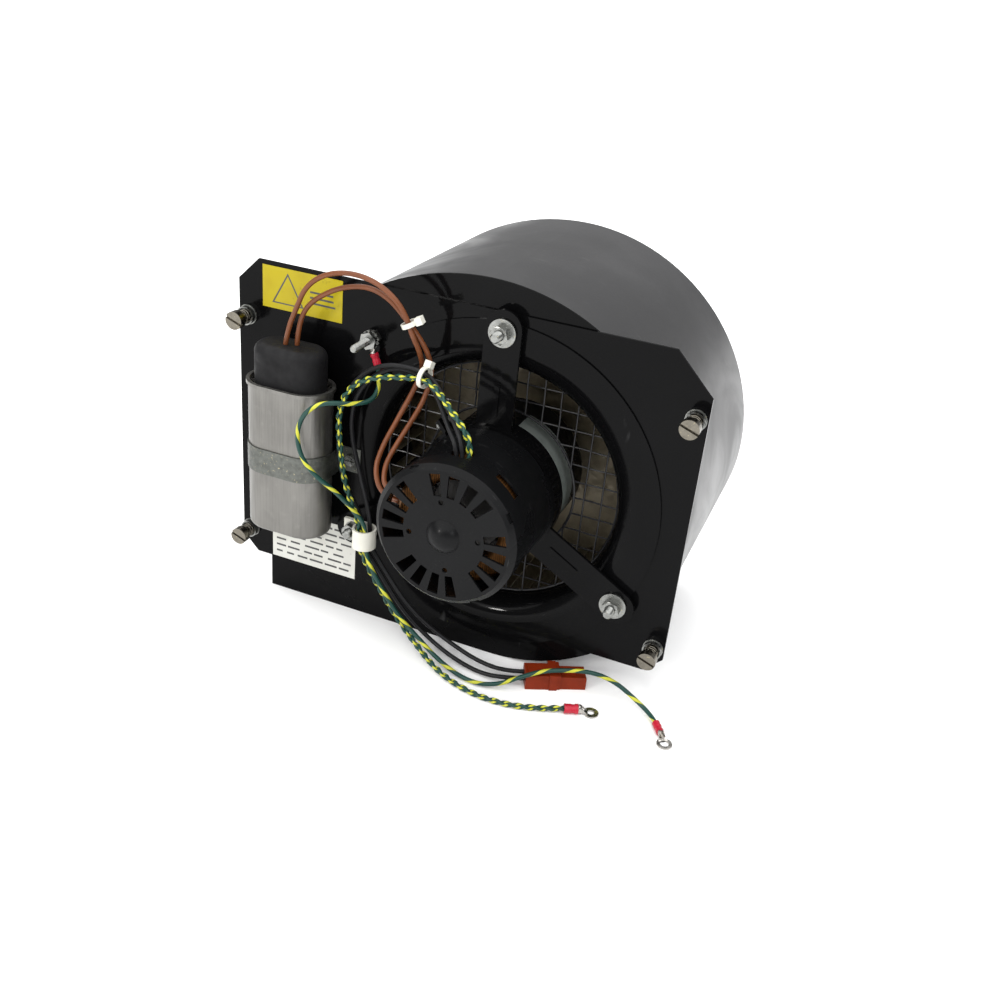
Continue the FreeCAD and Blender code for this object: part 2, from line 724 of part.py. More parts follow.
# ---- capacitor ----------------------------------------------------------------------------------------------
def capacitor_can():
    body = stadium(can_width, can_depth, can_bottom, can_top, cap_x, can_middle_y)
    bottom = [e for e in body.Edges if abs(e.CenterOfMass.z - can_bottom) < 0.01]
    body = body.makeFillet(3.0, bottom)
    cavity = stadium(can_width - 2 * can_wall, can_depth - 2 * can_wall, can_bottom + can_wall + 1,
                     can_top + 1, cap_x, can_middle_y)
    rim = stadium(can_width + 2.4, can_depth + 2.4, can_top - 2.2, can_top, cap_x, can_middle_y)
    rim = rim.common(box(-400, 400, -200, plate_front, -200, 200))
    rim = rim.cut(stadium(can_width - 2 * can_wall, can_depth - 2 * can_wall, can_top - 5, can_top + 1,
                          cap_x, can_middle_y))
    return fuse([body.cut(cavity), rim])


def capacitor_core():
    low = can_bottom + can_wall + 1
    return stadium(can_width - 4, can_depth - 4, low, can_top - 12, cap_x, can_middle_y)


def capacitor_lid():
    lid = stadium(can_width - 2 * can_wall, can_depth - 2 * can_wall, can_top - 3.5, can_top - 2, cap_x, can_middle_y)
    return lid


def capacitor_terminals():
    tabs = []
    for dx in (-8.0, 8.0):
        foot = box(cap_x + dx - 4, cap_x + dx + 4, can_middle_y - 4, can_middle_y + 4, can_top - 2, can_top + 0.5)
        for side in (-2.5, 2.5):
            blade = box(cap_x + dx + side - 0.4, cap_x + dx + side + 0.4, can_middle_y - 3.2, can_middle_y + 3.2,
                        can_top + 0.5, can_top + 9)
            foot = foot.fuse(blade)
        tabs.append(foot)
    return Part.makeCompound(tabs)


def capacitor_boot():
    top = can_top - 2 + boot_height + 2
    boot = stadium(boot_width, boot_depth, can_top - 2, top, cap_x, can_middle_y)
    upper = [e for e in boot.Edges if abs(e.CenterOfMass.z - top) < 0.01]
    boot = boot.makeFillet(6.0, upper)
    hollow = stadium(boot_width - 2 * boot_wall, boot_depth - 2 * boot_wall, can_top - 3, top - 6,
                     cap_x, can_middle_y)
    return boot.cut(hollow)


def strap_screw_places():
    reach = can_width / 2 + strap_thickness + strap_tab / 2
    return (cap_x - reach, cap_x + reach)




def capacitor_strap():
    """A steel band round the can's front, with a foot screwed down on each side."""
    z0, z1 = strap_bottom, strap_bottom + strap_width
    grown = stadium(can_width + 2 * strap_thickness, can_depth + 2 * strap_thickness, z0, z1, cap_x, can_middle_y)
    front = box(-400, 400, -200, can_middle_y, -200, 200)
    pieces = [grown.cut(stadium(can_width, can_depth, z0 - 1, z1 + 1, cap_x, can_middle_y)).common(front)]
    for side, seat in STRAP_FEET:
        x0, x1 = sorted(cap_x + side * d for d in (can_width / 2, can_width / 2 + strap_thickness))
        pieces.append(box(x0, x1, can_middle_y, seat, z0, z1))
        x0, x1 = sorted(cap_x + side * d for d in (can_width / 2, can_width / 2 + strap_thickness + strap_tab))
        pieces.append(box(x0, x1, seat - strap_thickness, seat, z0, z1))
    band = fuse(pieces)
    holes = [rod(strap_screw_radius, flange_front - 3, 1, x, strap_middle) for x in strap_screw_places()]
    return band.cut(Part.makeCompound(holes))


def strap_screws():
    screws = []
    for x, (side, seat) in zip(strap_screw_places(), STRAP_FEET):
        under = seat - strap_thickness
        shank = rod(strap_screw_radius, under, sheet + 1.5, x, strap_middle)
        head = rod(3.6, under - 2.2, under, x, strap_middle)
        slot = box(x - 4, x + 4, under - 3, under - 1.3, strap_middle - 0.5, strap_middle + 0.5)
        screws.append(fuse([shank, head]).cut(slot))
    return Part.makeCompound(screws)


# ---- ground stud --------------------------------------------------------------------------------------------
def ground_stud():
    shank = rod(ground_radius, ground_tip, sheet, ground_x, ground_z)
    head = rod(ground_radius + 2, sheet, sheet + 1.8, ground_x, ground_z)
    return fuse([shank, head])


def star_washer(y0, y1):
    disc = rod(5.6, y0, y1, ground_x, ground_z)
    teeth = []
    for n in range(12):
        tooth = box(ground_x + 4.6, ground_x + 6.4, y0 - 0.1, y1 + 0.1, ground_z - 0.5, ground_z + 0.5)
        teeth.append(spun(tooth, 30 * n, ground_x, ground_z))
    disc = disc.cut(Part.makeCompound(teeth))
    return disc.cut(rod(ground_radius, y0 - 1, y1 + 1, ground_x, ground_z))


def ground_hardware():
    """From the plate out: locking nut, star washer, (terminal), star washer and outer nut."""
    y = plate_front
    pieces = [hexagon(8.6, y - 2.6, y, ground_x, ground_z, 10).cut(
        rod(ground_radius, y - 4, y + 1, ground_x, ground_z))]
    y -= 2.6
    pieces.append(star_washer(y - 0.8, y))
    y -= 0.8 + terminal_sheet
    pieces.append(star_washer(y - 0.8, y))
    y -= 0.8
    pieces.append(hexagon(9.4, y - 3.6, y, ground_x, ground_z, 20).cut(
        rod(ground_radius, y - 5, y + 1, ground_x, ground_z)))
    return Part.makeCompound(pieces)


def ring_terminal(stud_radius, lead_radius):
    """A ring terminal: its eye at the origin in the XY plane, its barrel and red sleeve running along +X."""
    t = terminal_sheet
    crimp = lead_radius + terminal_slack
    start = terminal_eye + terminal_neck
    rise = crimp + crimp_lift
    eye = Part.makeCylinder(terminal_eye, t)
    neck = Part.makeBox(start + 1, terminal_eye, t, V(0, -terminal_eye / 2, 0))
    barrel = Part.makeCylinder(crimp, terminal_barrel, V(start, 0, rise), V(1, 0, 0))
    metal = fuse([eye, neck, barrel]).cut(Part.makeCylinder(stud_radius, 3 * t, V(0, 0, -t)))
    length = terminal_barrel + terminal_lap - terminal_step
    sleeve = Part.makeCylinder(crimp + sleeve_wall, length, V(start + terminal_step, 0, rise), V(1, 0, 0))
    sleeve = sleeve.cut(Part.makeCylinder(crimp, length + 2, V(start, 0, rise), V(1, 0, 0)))
    return Part.makeCompound([metal, sleeve.cut(metal)])


def lead_end(lead_radius):
    """Where a lead meets its terminal, in the terminal's own frame."""
    return terminal_eye + terminal_neck + terminal_barrel, lead_radius + terminal_slack + crimp_lift


def ground_terminal():
    terminal = ring_terminal(ground_radius, lead_diameter / 2)
    terminal.rotate(V(0, 0, 0), V(1, 0, 0), 90)
    terminal = spun(terminal, ground_terminal_angle)
    terminal.translate(V(ground_x, ground_terminal_y, ground_z))
    return terminal


def floor_terminal(x, y, turn, stud_radius, lead_radius):
    terminal = ring_terminal(stud_radius, lead_radius)
    terminal.rotate(V(0, 0, 0), V(0, 0, 1), turn)
    terminal.translate(V(x, y, scroll_bottom + terminal_floor_gap))
    return terminal


# ---- cable clip ---------------------------------------------------------------------------------------------
def cable_clip():
    """A loop clip on the third arm's stud: a flat tab and a loop round the leads."""
    x, z = polar(stud_circle_radius, ARM_ANGLES[1])
    y0 = arm_front - 2 * clip_thickness
    half = clip_width / 2
    loop_x = x + clip_offset
    loop_y = arm_front - clip_loop_radius
    tab = box(x - half, loop_x, y0, arm_front, z - half, z + half)
    loop = Part.makeCylinder(clip_loop_radius, clip_width, V(loop_x, loop_y, z - half), V(0, 0, 1))
    bore = Part.makeCylinder(clip_loop_radius - clip_thickness, clip_width + 2, V(loop_x, loop_y, z - half - 1),
                             V(0, 0, 1))
    clip = fuse([tab, loop]).cut(bore)
    room = rod(nut_corner_radius + 0.5, arm_stud_tip, y0, x, z)
    return clip.cut(room).cut(rod(arm_stud_radius, y0 - 1, arm_front + 1, x, z))


# ---- leads --------------------------------------------------------------------------------------------------
def tube(name, points, diameter):
    """A round lead along straight runs joined by tangent arcs; prints its length, radii and volume check."""
    pts = [V(*p) for p in points]
    edges = []
    radii = []
    start = pts[0]
    for before, corner, after in zip(pts, pts[1:], pts[2:]):
        a, b = before - corner, after - corner
        run = min(a.Length, b.Length)
        a.normalize()
        b.normalize()
        turn = math.pi - a.getAngle(b)
        trim = 0.45 * run
        radii.append(trim / math.tan(turn / 2))
        enter, leave = corner + a * trim, corner + b * trim
        middle = a + b
        middle.normalize()
        reach = radii[-1] / math.cos(turn / 2) - radii[-1]
        edges.append(Part.LineSegment(start, enter).toShape())
        edges.append(Part.Arc(enter, corner + middle * reach, leave).toShape())
        start = leave
    edges.append(Part.LineSegment(start, pts[-1]).toShape())
    spine = Part.Wire(edges)
    section = Part.Wire(Part.makeCircle(diameter / 2, pts[0], pts[1] - pts[0]))
    solid = spine.makePipeShell([section], True, True)
    ideal = spine.Length * math.pi * diameter ** 2 / 4
    print(f"{name}: length {spine.Length:.0f}  smallest radius {min(radii):.1f}  "
          f"volume/ideal {solid.Volume / ideal:.3f}  radii {[round(r) for r in radii]}")
    return solid


def on_motor(radius, degrees):
    """A point beside the motor at the level of the shell's lead holes."""
    x, z = polar(radius, degrees)
    return x, lead_exit_y, z


def along(x, y, z, turn, distance):
    angle = math.radians(turn)
    return x + distance * math.cos(angle), y + distance * math.sin(angle), z


floor = scroll_bottom


def ground_lead_start(ahead=0.0):
    """Where the earth lead leaves the ground terminal's barrel, or a little further along it."""
    distance, height = lead_end(lead_diameter / 2)
    x, z = polar(distance + ahead, ground_terminal_angle)
    return ground_x + x, ground_terminal_y - height, ground_z + z


def floor_lead_end(x, y, turn, lead_radius, back=0.0):
    """Where a lead meets a terminal whose eye lies at (x, y), or a little before it."""
    distance, height = lead_end(lead_radius)
    return along(x, y, floor + terminal_floor_gap + height, turn, distance + back)


EARTH_EYE = (135.0, -33.0, 123.7)
PAIR_EYE = (87.5, -27.0, 204.5)
winding_surface = motor_radius - motor_wall - 2
boot_top = can_top + boot_height
lead_rest = floor + lead_diameter / 2 + 0.2
pair_rest = floor + pair_diameter / 2 + 0.2

BROWN_LEFT = [
    (-130, -20, boot_top), (-128, -20, 79), (-122, -21, 92), (-116, -22.5, 105), (-105, -24, 115), (-89, -26, 121),
    (-71, -28, 121), (-57, -28.5, 114.5), (-49, -28.2, 105.5), (-44.5, -27.4, 94), (-42.5, -20, 82),
    (-43.5, -12.6, 69), (-48, -18, 54), (-52, -27, 40), (-56, -34.5, 27), (-57, -42, 14), on_motor(49, 178.6),
    on_motor(winding_surface, 178.6),
]
BROWN_RIGHT = [
    (-124, -17, boot_top), (-123, -17, 81), (-116, -19, 94.5), (-104, -21, 104), (-90, -23, 111.5), (-73, -25, 115.5),
    (-59.5, -25, 110.5), (-50, -25, 101.6), (-42.5, -22.6, 92), (-39, -15.5, 80), (-37.5, -12.8, 67),
    (-40, -18, 52), (-45, -24, 39), (-49, -32, 28), (-51.5, -40.5, 17), on_motor(48.5, 173.2),
    on_motor(winding_surface, 173.2),
]
SUPPLY_A = [
    on_motor(winding_surface, 92.3), on_motor(46.5, 92.3), (-9, -41.5, 54.5), (-18, -34.5, 61.5), (-27.5, -26.8, 68.5),
    (-37, -22.2, 71.9), (-51, -19.5, 72), (-65, -18, 69.5), (-78, -17, 62), (-88, -16, 50), (-94.5, -15, 35),
    (-96.8, -14.2, 18), (-96.5, -13.6, 0), (-92, -13, -17), (-84, -12.7, -29), (-78.6, -12.7, -40),
    (-77.6, -12.5, -57), (-69.5, -12, -68), (-60, -12, -81), (-48, -13, -95), (-31, -16, -106), (-8, -21.5, -113),
    (14, -26, -114.6), along(41.96, -20.99, -111.5, connector_turn, -12), (41.96, -20.99, -111.5),
]
SUPPLY_B = [
    on_motor(winding_surface, 97.3), on_motor(45.8, 97.3), (-13, -41, 51), (-21, -33, 57.5), (-29, -26, 64),
    (-37, -22.6, 68.3), (-47, -18, 69.5), (-60, -15, 68), (-73, -13.5, 60.5), (-84, -12, 48), (-90, -10.5, 32),
    (-89, -11, 14), (-83, -12.5, -3), (-78, -12.8, -20), (-74.2, -11.7, -38), (-73.5, -11.5, -56), (-65.5, -12, -66),
    (-55.5, -12.5, -78.5), (-45, -12.5, -90.5), (-31, -12.5, -101), (-10, -14.5, -109), (10, -18, -112.5),
    along(38.78, -14.75, -111.5, connector_turn, -12), (38.78, -14.75, -111.5),
]
EARTH_PAIR = [
    on_motor(winding_surface, 86.4), on_motor(48, 86.4), (-4, -45.5, 57.5), (-15, -40, 64), (-26, -32.5, 69),
    (-37, -26.8, 70.5), (-49, -24.6, 67.5), (-63, -24, 64.5), (-77, -24, 59), (-87, -24, 49), (-91.5, -23.5, 35),
    (-92, -21.5, 18), (-91, -19.5, 1), (-89, -18.2, -14), (-83.5, -17.8, -28), (-78, -17.8, -41), (-77, -17.6, -58),
    (-71, -17.4, -69), (-62, -17.4, -82), (-51, -18.5, -96), (-34, -24, -108), (-9, -38.5, -114.2), (17, -47, pair_rest),
    (41, -46.5, pair_rest), (61, -39, pair_rest), floor_lead_end(*PAIR_EYE, pair_diameter / 2, 7),
    floor_lead_end(*PAIR_EYE, pair_diameter / 2),
]
EARTH_LEAD = [
    ground_lead_start(), ground_lead_start(5), (-71.2, -12.5, 50), (-73, -20, 45), (-80.5, -28, 44.5), (-88.5, -35, 46),
    (-97, -40, 44.5), (-105.5, -41, 36), (-109.5, -41, 23), (-106.5, -41, 9.5), (-98, -39.5, -1.5), (-88.5, -33.5, -11),
    (-81, -25.5, -24), (-73.5, -18.4, -38), (-73, -18.6, -57), (-67.5, -20.5, -67), (-58.5, -21, -79.5),
    (-47, -22.5, -93), (-31.5, -24.5, -103.5), (-11, -30, -113.2), (11, -36.5, lead_rest), (28, -34.5, -113),
    (41, -27.5, -106.5), (52, -19.6, -103), (66, -12.5, -101.8), (81, -7.5, -101.3), (95, -6, -104.5),
    (108, -7.5, -110.5), floor_lead_end(*EARTH_EYE, lead_diameter / 2, 10),
    floor_lead_end(*EARTH_EYE, lead_diameter / 2),
]


def tie(x, y, z, direction, inner_radius, head_angle):
    """A nylon tie: a thin ring and its square head."""
    ring = Part.makeCylinder(inner_radius + tie_wall, tie_width, V(0, 0, -tie_width / 2))
    ring = ring.cut(Part.makeCylinder(inner_radius, tie_width + 2, V(0, 0, -tie_width / 2 - 1)))
    head = Part.makeBox(4.0, 4.6, 4.2, V(inner_radius + 0.3, -2.3, -2.1))
    head.rotate(V(0, 0, 0), V(0, 0, 1), head_angle)
    ring = fuse([ring, head.cut(Part.makeCylinder(inner_radius, 10, V(0, 0, -5)))])
    ring.Placement = FreeCAD.Placement(V(x, y, z), FreeCAD.Rotation(V(0, 0, 1), V(*direction)))
    return ring


def connector_half(x0, x1, depth, height, ribs):
    """One half of the plug connector, along +X, its floor side at the bottom."""
    side = (connector_depth - depth) / 2
    body = box(x0, x1, side, side + depth, 0, height)
    body = body.makeFillet(0.8, [e for e in body.Edges if abs(e.CenterOfMass.z - height) < 0.01])
    for rib in ribs:
        body = body.fuse(box(*rib))
    return body.removeSplitter()


def laid(shape):
    """Turns a connector half and lays it on the floor."""
    shape.rotate(V(0, 0, 0), V(0, 0, 1), connector_turn)
    shape.translate(V(connector_x, connector_y, floor))
    return shape


def connector_socket():
    half = connector_length * 0.52
    ribs = [(half - 5, half, 0, connector_depth, 0, connector_height),
            (2, half - 5, 4, connector_depth - 4, connector_height - 1.0, connector_height)]
    return laid(connector_half(0, half, connector_depth - 1.6, connector_height - 1.0, ribs))


def connector_plug():
    half = connector_length * 0.52
    ribs = [(half, half + 2, 0.6, connector_depth - 0.6, 0.4, connector_height - 0.4),
            (half + 3, half + 12, 5, connector_depth - 5, connector_height - 2.2, connector_height - 0.6)]
    return laid(connector_half(half, connector_length, connector_depth - 3.2, connector_height - 2.2, ribs))


def label(left, right, bottom, top):
    return box(left, right, plate_front - label_sheet, plate_front, bottom, top)


# ---- every node ---------------------------------------------------------------------------------------------
save("mounting_plate", mounting_plate())
save("scroll_front_side", side_plate(0, sheet, True))
save("scroll_back_side", side_plate(scroll_depth - sheet, scroll_depth, False))
save("scroll_wrap", scroll_wall(sheet, scroll_depth - sheet))
save("inlet_rings", Part.makeCompound([front_inlet_ring(), rear_inlet_ring()]))
save("inlet_guard", inlet_guard())
save("motor_band", motor_band())
save("band_clamp_screw", band_clamp_screw())
save("bracket_arms", Part.makeCompound([bracket_arm(a) for a in ARM_ANGLES]))
save("arm_grommets", Part.makeCompound(
    [fastener_ring(fender_radius + 0.8, arm_stud_radius, arm_back, flange_front, a) for a in ARM_ANGLES]))
save("arm_studs", Part.makeCompound([arm_stud(a) for a in ARM_ANGLES]))
clip_front = arm_front - 2 * clip_thickness
washer_front = arm_front - fender_thickness
save("arm_washers", Part.makeCompound([
    fastener_ring(fender_radius, arm_stud_radius, washer_front, arm_front, ARM_ANGLES[0]),
    fastener_ring(nut_corner_radius, arm_stud_radius, clip_front - 1, clip_front, ARM_ANGLES[1]),
    fastener_ring(fender_radius, arm_stud_radius, washer_front, arm_front, ARM_ANGLES[2])]))
save("arm_nuts", Part.makeCompound([arm_nut(ARM_ANGLES[0], washer_front), arm_nut(ARM_ANGLES[1], clip_front - 1),
                                    arm_nut(ARM_ANGLES[2], washer_front)]))
save("cable_clip", cable_clip())
save("motor_shell", motor_shell())
save("front_endbell", front_endbell())
save("rear_endbell", rear_endbell())
save("bearing_cap", bearing_cap())
save("stator_core", stator_core())
save("stator_windings", stator_windings())
save("motor_bearings", motor_bearings())
save("motor_shaft", motor_shaft())
save("rotor_core", rotor_core())
save("wheel_hub", wheel_hub())
save("hub_set_screw", hub_set_screw())
save("wheel_disc", wheel_disc())
save("wheel_blades", wheel_blades())
save("wheel_end_rings", wheel_end_rings())
save("screw_ferrules", Part.makeCompound([ferrule(x, z) for x, z in SCREWS.values()]))
for place, (x, z) in SCREWS.items():
    save("captive_screw_" + place, fixing_screw(x, z))
    save("captive_spring_" + place, screw_spring(x, z))
save("capacitor_can", capacitor_can())
save("capacitor_core", capacitor_core())
save("capacitor_lid", Part.makeCompound([capacitor_lid(), capacitor_terminals()]))
save("capacitor_boot", capacitor_boot())
save("capacitor_strap", capacitor_strap())
save("strap_screws", strap_screws())
save("warning_label", label(*warning_label))
save("rating_label", label(*rating_label))
save("ground_stud", ground_stud())
save("ground_hardware", ground_hardware())
save("ground_terminal", ground_terminal())
save("brown_lead_left", tube("brown_lead_left", BROWN_LEFT, brown_diameter))
save("brown_lead_right", tube("brown_lead_right", BROWN_RIGHT, brown_diameter))
save("supply_lead_a", tube("supply_lead_a", SUPPLY_A, lead_diameter))
save("supply_lead_b", tube("supply_lead_b", SUPPLY_B, lead_diameter))
save("earth_pair", tube("earth_pair", EARTH_PAIR, pair_diameter))
save("earth_lead", tube("earth_lead", EARTH_LEAD, lead_diameter))
save("brown_lead_tie", tie(-47.1, -26.0, 99.8, (0.45, 0.1, -0.89), brown_tie_radius, 200))
save("harness_tie", tie(-37, -24.4, 70.2, (-1, 0.15, 0.05), harness_tie_radius, 20))
save("connector_socket", connector_socket())
save("connector_plug", connector_plug())
save("earth_terminal", floor_terminal(*EARTH_EYE, earth_hole_radius, lead_diameter / 2))
save("pair_terminal", floor_terminal(*PAIR_EYE, pair_hole_radius, pair_diameter / 2))
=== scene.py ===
"""Looks of a direct-drive centrifugal blower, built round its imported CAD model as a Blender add-on."""

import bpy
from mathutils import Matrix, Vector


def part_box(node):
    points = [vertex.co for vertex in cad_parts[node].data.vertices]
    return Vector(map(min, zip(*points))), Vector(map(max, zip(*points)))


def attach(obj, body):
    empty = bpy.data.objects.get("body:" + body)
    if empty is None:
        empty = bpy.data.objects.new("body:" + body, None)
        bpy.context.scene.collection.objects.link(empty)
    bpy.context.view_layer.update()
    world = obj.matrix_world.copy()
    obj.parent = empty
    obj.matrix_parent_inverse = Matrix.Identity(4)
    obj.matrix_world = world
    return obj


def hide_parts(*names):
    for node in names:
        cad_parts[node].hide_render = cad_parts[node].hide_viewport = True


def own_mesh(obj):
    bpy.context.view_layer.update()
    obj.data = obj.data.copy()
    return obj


bl_info = {
    "name": "Centrifugal blower",
    "version": (1, 0, 0),
    "blender": (4, 5, 0),
    "location": "3D View > Sidebar > Blower",
    "description": "Finishes a packed blower model: paint, wire, leads, springs, labels and stage",
    "category": "Object",
}

import math
import random

import bpy
from mathutils import Matrix, Vector

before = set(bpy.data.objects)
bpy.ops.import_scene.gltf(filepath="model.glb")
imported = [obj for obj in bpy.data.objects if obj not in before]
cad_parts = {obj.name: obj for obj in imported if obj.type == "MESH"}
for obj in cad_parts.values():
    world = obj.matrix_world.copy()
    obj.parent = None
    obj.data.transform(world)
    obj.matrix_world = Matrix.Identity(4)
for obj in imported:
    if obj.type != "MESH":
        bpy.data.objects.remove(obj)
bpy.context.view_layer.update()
MM = 0.001
CREASE = math.radians(40)
PLACES = ("upper_left", "upper_right", "lower_left", "lower_right")
HOUSING = "housing"
PRINT_PROUD, PRINT_DEPTH = 0.00002, 0.0001


def middle(node):
    low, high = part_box(node)
    return (Vector(low) + Vector(high)) / 2


AXIS = Vector((middle("motor_shaft").x, 0.0, middle("motor_shaft").z))
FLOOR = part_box("scroll_wrap")[0][2]


def about_axis(x, y, z):
    """A point given in millimetres from the wheel's axis and the plate's rear face, in the frame's metres."""
    return AXIS + Vector((x, y, z)) * MM


# ---- settings ---------------------------------------------------------------------------------------------
def size(name, default, description):
    return bpy.props.FloatProperty(name=name, description=description, default=default, min=0.0,
                                   subtype="DISTANCE", unit="LENGTH", precision=5)


def colour(name, default, description):
    return bpy.props.FloatVectorProperty(name=name, description=description, default=default, size=3,
                                         min=0.0, max=1.0, subtype="COLOR")


class BLOWER_PG_sizes(bpy.types.PropertyGroup):
    """Sizes of the pieces that are made here"""

    earth_diameter: size("Earth lead", 0.0028, "Diameter of the single striped lead")
    pair_diameter: size("Earth pair", 0.0040, "Diameter over the two twisted striped strands")
    brown_diameter: size("Capacitor leads", 0.0030, "Diameter of the brown leads")
    supply_diameter: size("Supply leads", 0.0028, "Diameter of the black leads")
    stripe_pitch: size("Stripe pitch", 0.021, "Length of one turn of the earth lead's stripe")
    pair_pitch: size("Pair pitch", 0.0145, "Length of one turn of the twisted pair")
    spring_wire: size("Spring wire", 0.0008, "Diameter of the captive screws' spring wire")
    guard_wire: size("Guard wire", 0.0011, "Diameter of the inlet mesh's wire")
    guard_pitch: size("Guard pitch", 0.0106, "Distance between the inlet mesh's wires")
    thread_pitch: size("Thread pitch", 0.0010, "Pitch of the studs' threads")


class BLOWER_PG_colours(bpy.types.PropertyGroup):
    """Colours of the finishes"""

    gloss: colour("Gloss enamel", (0.0022, 0.0022, 0.0024), "Plate, arms and inlet rings")
    drum: colour("Drum enamel", (0.024, 0.024, 0.025), "Rolled wall of the scroll")
    motor: colour("Motor enamel", (0.0035, 0.0036, 0.0039), "Shell and endbells")
    zinc: colour("Zinc", (0.25, 0.254, 0.243), "Screws, nuts and washers")
    # painted shade: the wheel's colour is kept far darker than bright galvanised steel so that it stands for
    # the shade inside the scroll
    wheel: colour("Wheel sheet", (0.17, 0.142, 0.092), "Galvanised blades and rings")
    can: colour("Capacitor can", (0.185, 0.18, 0.168), "Drawn aluminium")
    rubber: colour("Rubber", (0.008, 0.0078, 0.0085), "Boot and grommets")
    nylon: colour("Nylon", (0.62, 0.61, 0.54), "Clip and ties")
    brown: colour("Brown lead", (0.14, 0.042, 0.013), "Capacitor leads")
    green: colour("Green", (0.008, 0.045, 0.036), "Ground of the striped leads")
    yellow: colour("Yellow", (0.46, 0.46, 0.035), "Stripe of the striped leads")
    red: colour("Red sleeve", (0.40, 0.012, 0.030), "Sleeves of the terminals")
    plug: colour("Connector", (0.19, 0.020, 0.004), "Both halves of the connector")


def sizes():
    return bpy.context.scene.blower_sizes


def colours():
    return bpy.context.scene.blower_colours


# ---- material nodes ---------------------------------------------------------------------------------------
class Finish:
    """A node material, built up in a few calls."""

    def __init__(self, name, base, roughness, metallic=0.0, specular=0.5, coat=0.0, coat_roughness=0.1):
        self.material = bpy.data.materials.new(name)
        self.material.use_nodes = True
        self.nodes = self.material.node_tree.nodes
        self.links = self.material.node_tree.links
        self.shader = self.nodes["Principled BSDF"]
        self.base = (*base, 1.0)
        self.colour = None
        self.height = None
        self.shader.inputs["Base Color"].default_value = self.base
        self.shader.inputs["Roughness"].default_value = roughness
        self.shader.inputs["Metallic"].default_value = metallic
        self.shader.inputs["Specular IOR Level"].default_value = specular
        self.shader.inputs["Coat Weight"].default_value = coat
        self.shader.inputs["Coat Roughness"].default_value = coat_roughness
        self.material.diffuse_color = self.base
        self.place = self.nodes.new("ShaderNodeTexCoord").outputs["Object"]

    def stretched(self, x, y, z):
        """Object coordinates scaled along each axis, for grain that runs one way."""
        mapping = self.nodes.new("ShaderNodeMapping")
        mapping.inputs["Scale"].default_value = (x, y, z)
        self.links.new(self.place, mapping.inputs["Vector"])
        return mapping.outputs["Vector"]

    def noise(self, scale, detail=4.0, distortion=0.0, vector=None):
        node = self.nodes.new("ShaderNodeTexNoise")
        node.inputs["Scale"].default_value = scale
        node.inputs["Detail"].default_value = detail
        node.inputs["Distortion"].default_value = distortion
        self.links.new(vector or self.place, node.inputs["Vector"])
        return node.outputs[0]

    def cells(self, scale):
        node = self.nodes.new("ShaderNodeTexVoronoi")
        node.inputs["Scale"].default_value = scale
        self.links.new(self.place, node.inputs["Vector"])
        return node

    def between(self, value, low, high, to_low=0.0, to_high=1.0):
        node = self.nodes.new("ShaderNodeMapRange")
        node.interpolation_type = "SMOOTHSTEP"
        for socket, number in zip(node.inputs[1:5], (low, high, to_low, to_high)):
            socket.default_value = number
        self.links.new(value, node.inputs[0])
        return node.outputs[0]

    def math(self, operation, first, second=0.0):
        node = self.nodes.new("ShaderNodeMath")
        node.operation = operation
        for socket, value in zip(node.inputs, (first, second)):
            if isinstance(value, (int, float)):
                socket.default_value = value
            else:
                self.links.new(value, socket)
        return node.outputs[0]

    def tint(self, mask, base):
        """Lays another colour over what is there, where the mask is 1."""
        node = self.nodes.new("ShaderNodeMix")
        node.data_type = "RGBA"
        self.links.new(mask, node.inputs[0])
        if self.colour is None:
            node.inputs[6].default_value = self.base
        else:
            self.links.new(self.colour, node.inputs[6])
        node.inputs[7].default_value = (*base, 1.0)
        self.colour = node.outputs[2]
        self.links.new(self.colour, self.shader.inputs["Base Color"])

    def gloss(self, value, low, high, to_low, to_high):
        self.links.new(self.between(value, low, high, to_low, to_high), self.shader.inputs["Roughness"])

    def bump(self, value, distance):
        node = self.nodes.new("ShaderNodeBump")
        node.inputs["Strength"].default_value = 1.0
        node.inputs["Distance"].default_value = distance
        self.links.new(value, node.inputs["Height"])
        if self.height is not None:
            self.links.new(self.height, node.inputs["Normal"])
        self.height = node.outputs["Normal"]
        self.links.new(self.height, self.shader.inputs["Normal"])


def shade(base, factor):
    return tuple(min(1.0, channel * factor) for channel in base)


def enamel(name, base, low, high, dust, peel=0.00002, specular=0.5):
    """Sprayed enamel on sheet: orange peel, wiped smears and fine dust."""
    f = Finish(name, base, low, specular=specular, coat=0.02, coat_roughness=0.06)
    smear = f.noise(14, 5, 1.2)
    f.gloss(smear, 0.35, 0.7, low, high)
    f.tint(f.between(f.noise(9, 6, 0.6), 0.42, 0.75, 0.0, 0.5), shade(base, 2.0))
    f.tint(f.between(f.noise(2600, 2), 0.72, 0.78, 0.0, dust), (0.25, 0.24, 0.22))
    scratch = f.noise(60, 3, 0.2, f.stretched(1.0, 14.0, 0.25))
    f.tint(f.between(scratch, 0.70, 0.74, 0.0, dust), (0.16, 0.16, 0.16))
    f.bump(f.noise(420, 2), peel)
    return f.material


def plated(name, base, low=0.22, high=0.42):
    """Zinc plate: brushed, with dull yellowish patches."""
    f = Finish(name, base, low, metallic=1.0)
    f.gloss(f.noise(500, 4), 0.3, 0.7, low, high)
    f.tint(f.between(f.noise(260, 5), 0.45, 0.72, 0.0, 0.6), shade(base, 0.62))
    f.tint(f.between(f.noise(700, 3), 0.62, 0.75, 0.0, 0.5), (0.48, 0.42, 0.26))
    f.bump(f.noise(2400, 2), 0.00001)
    return f.material


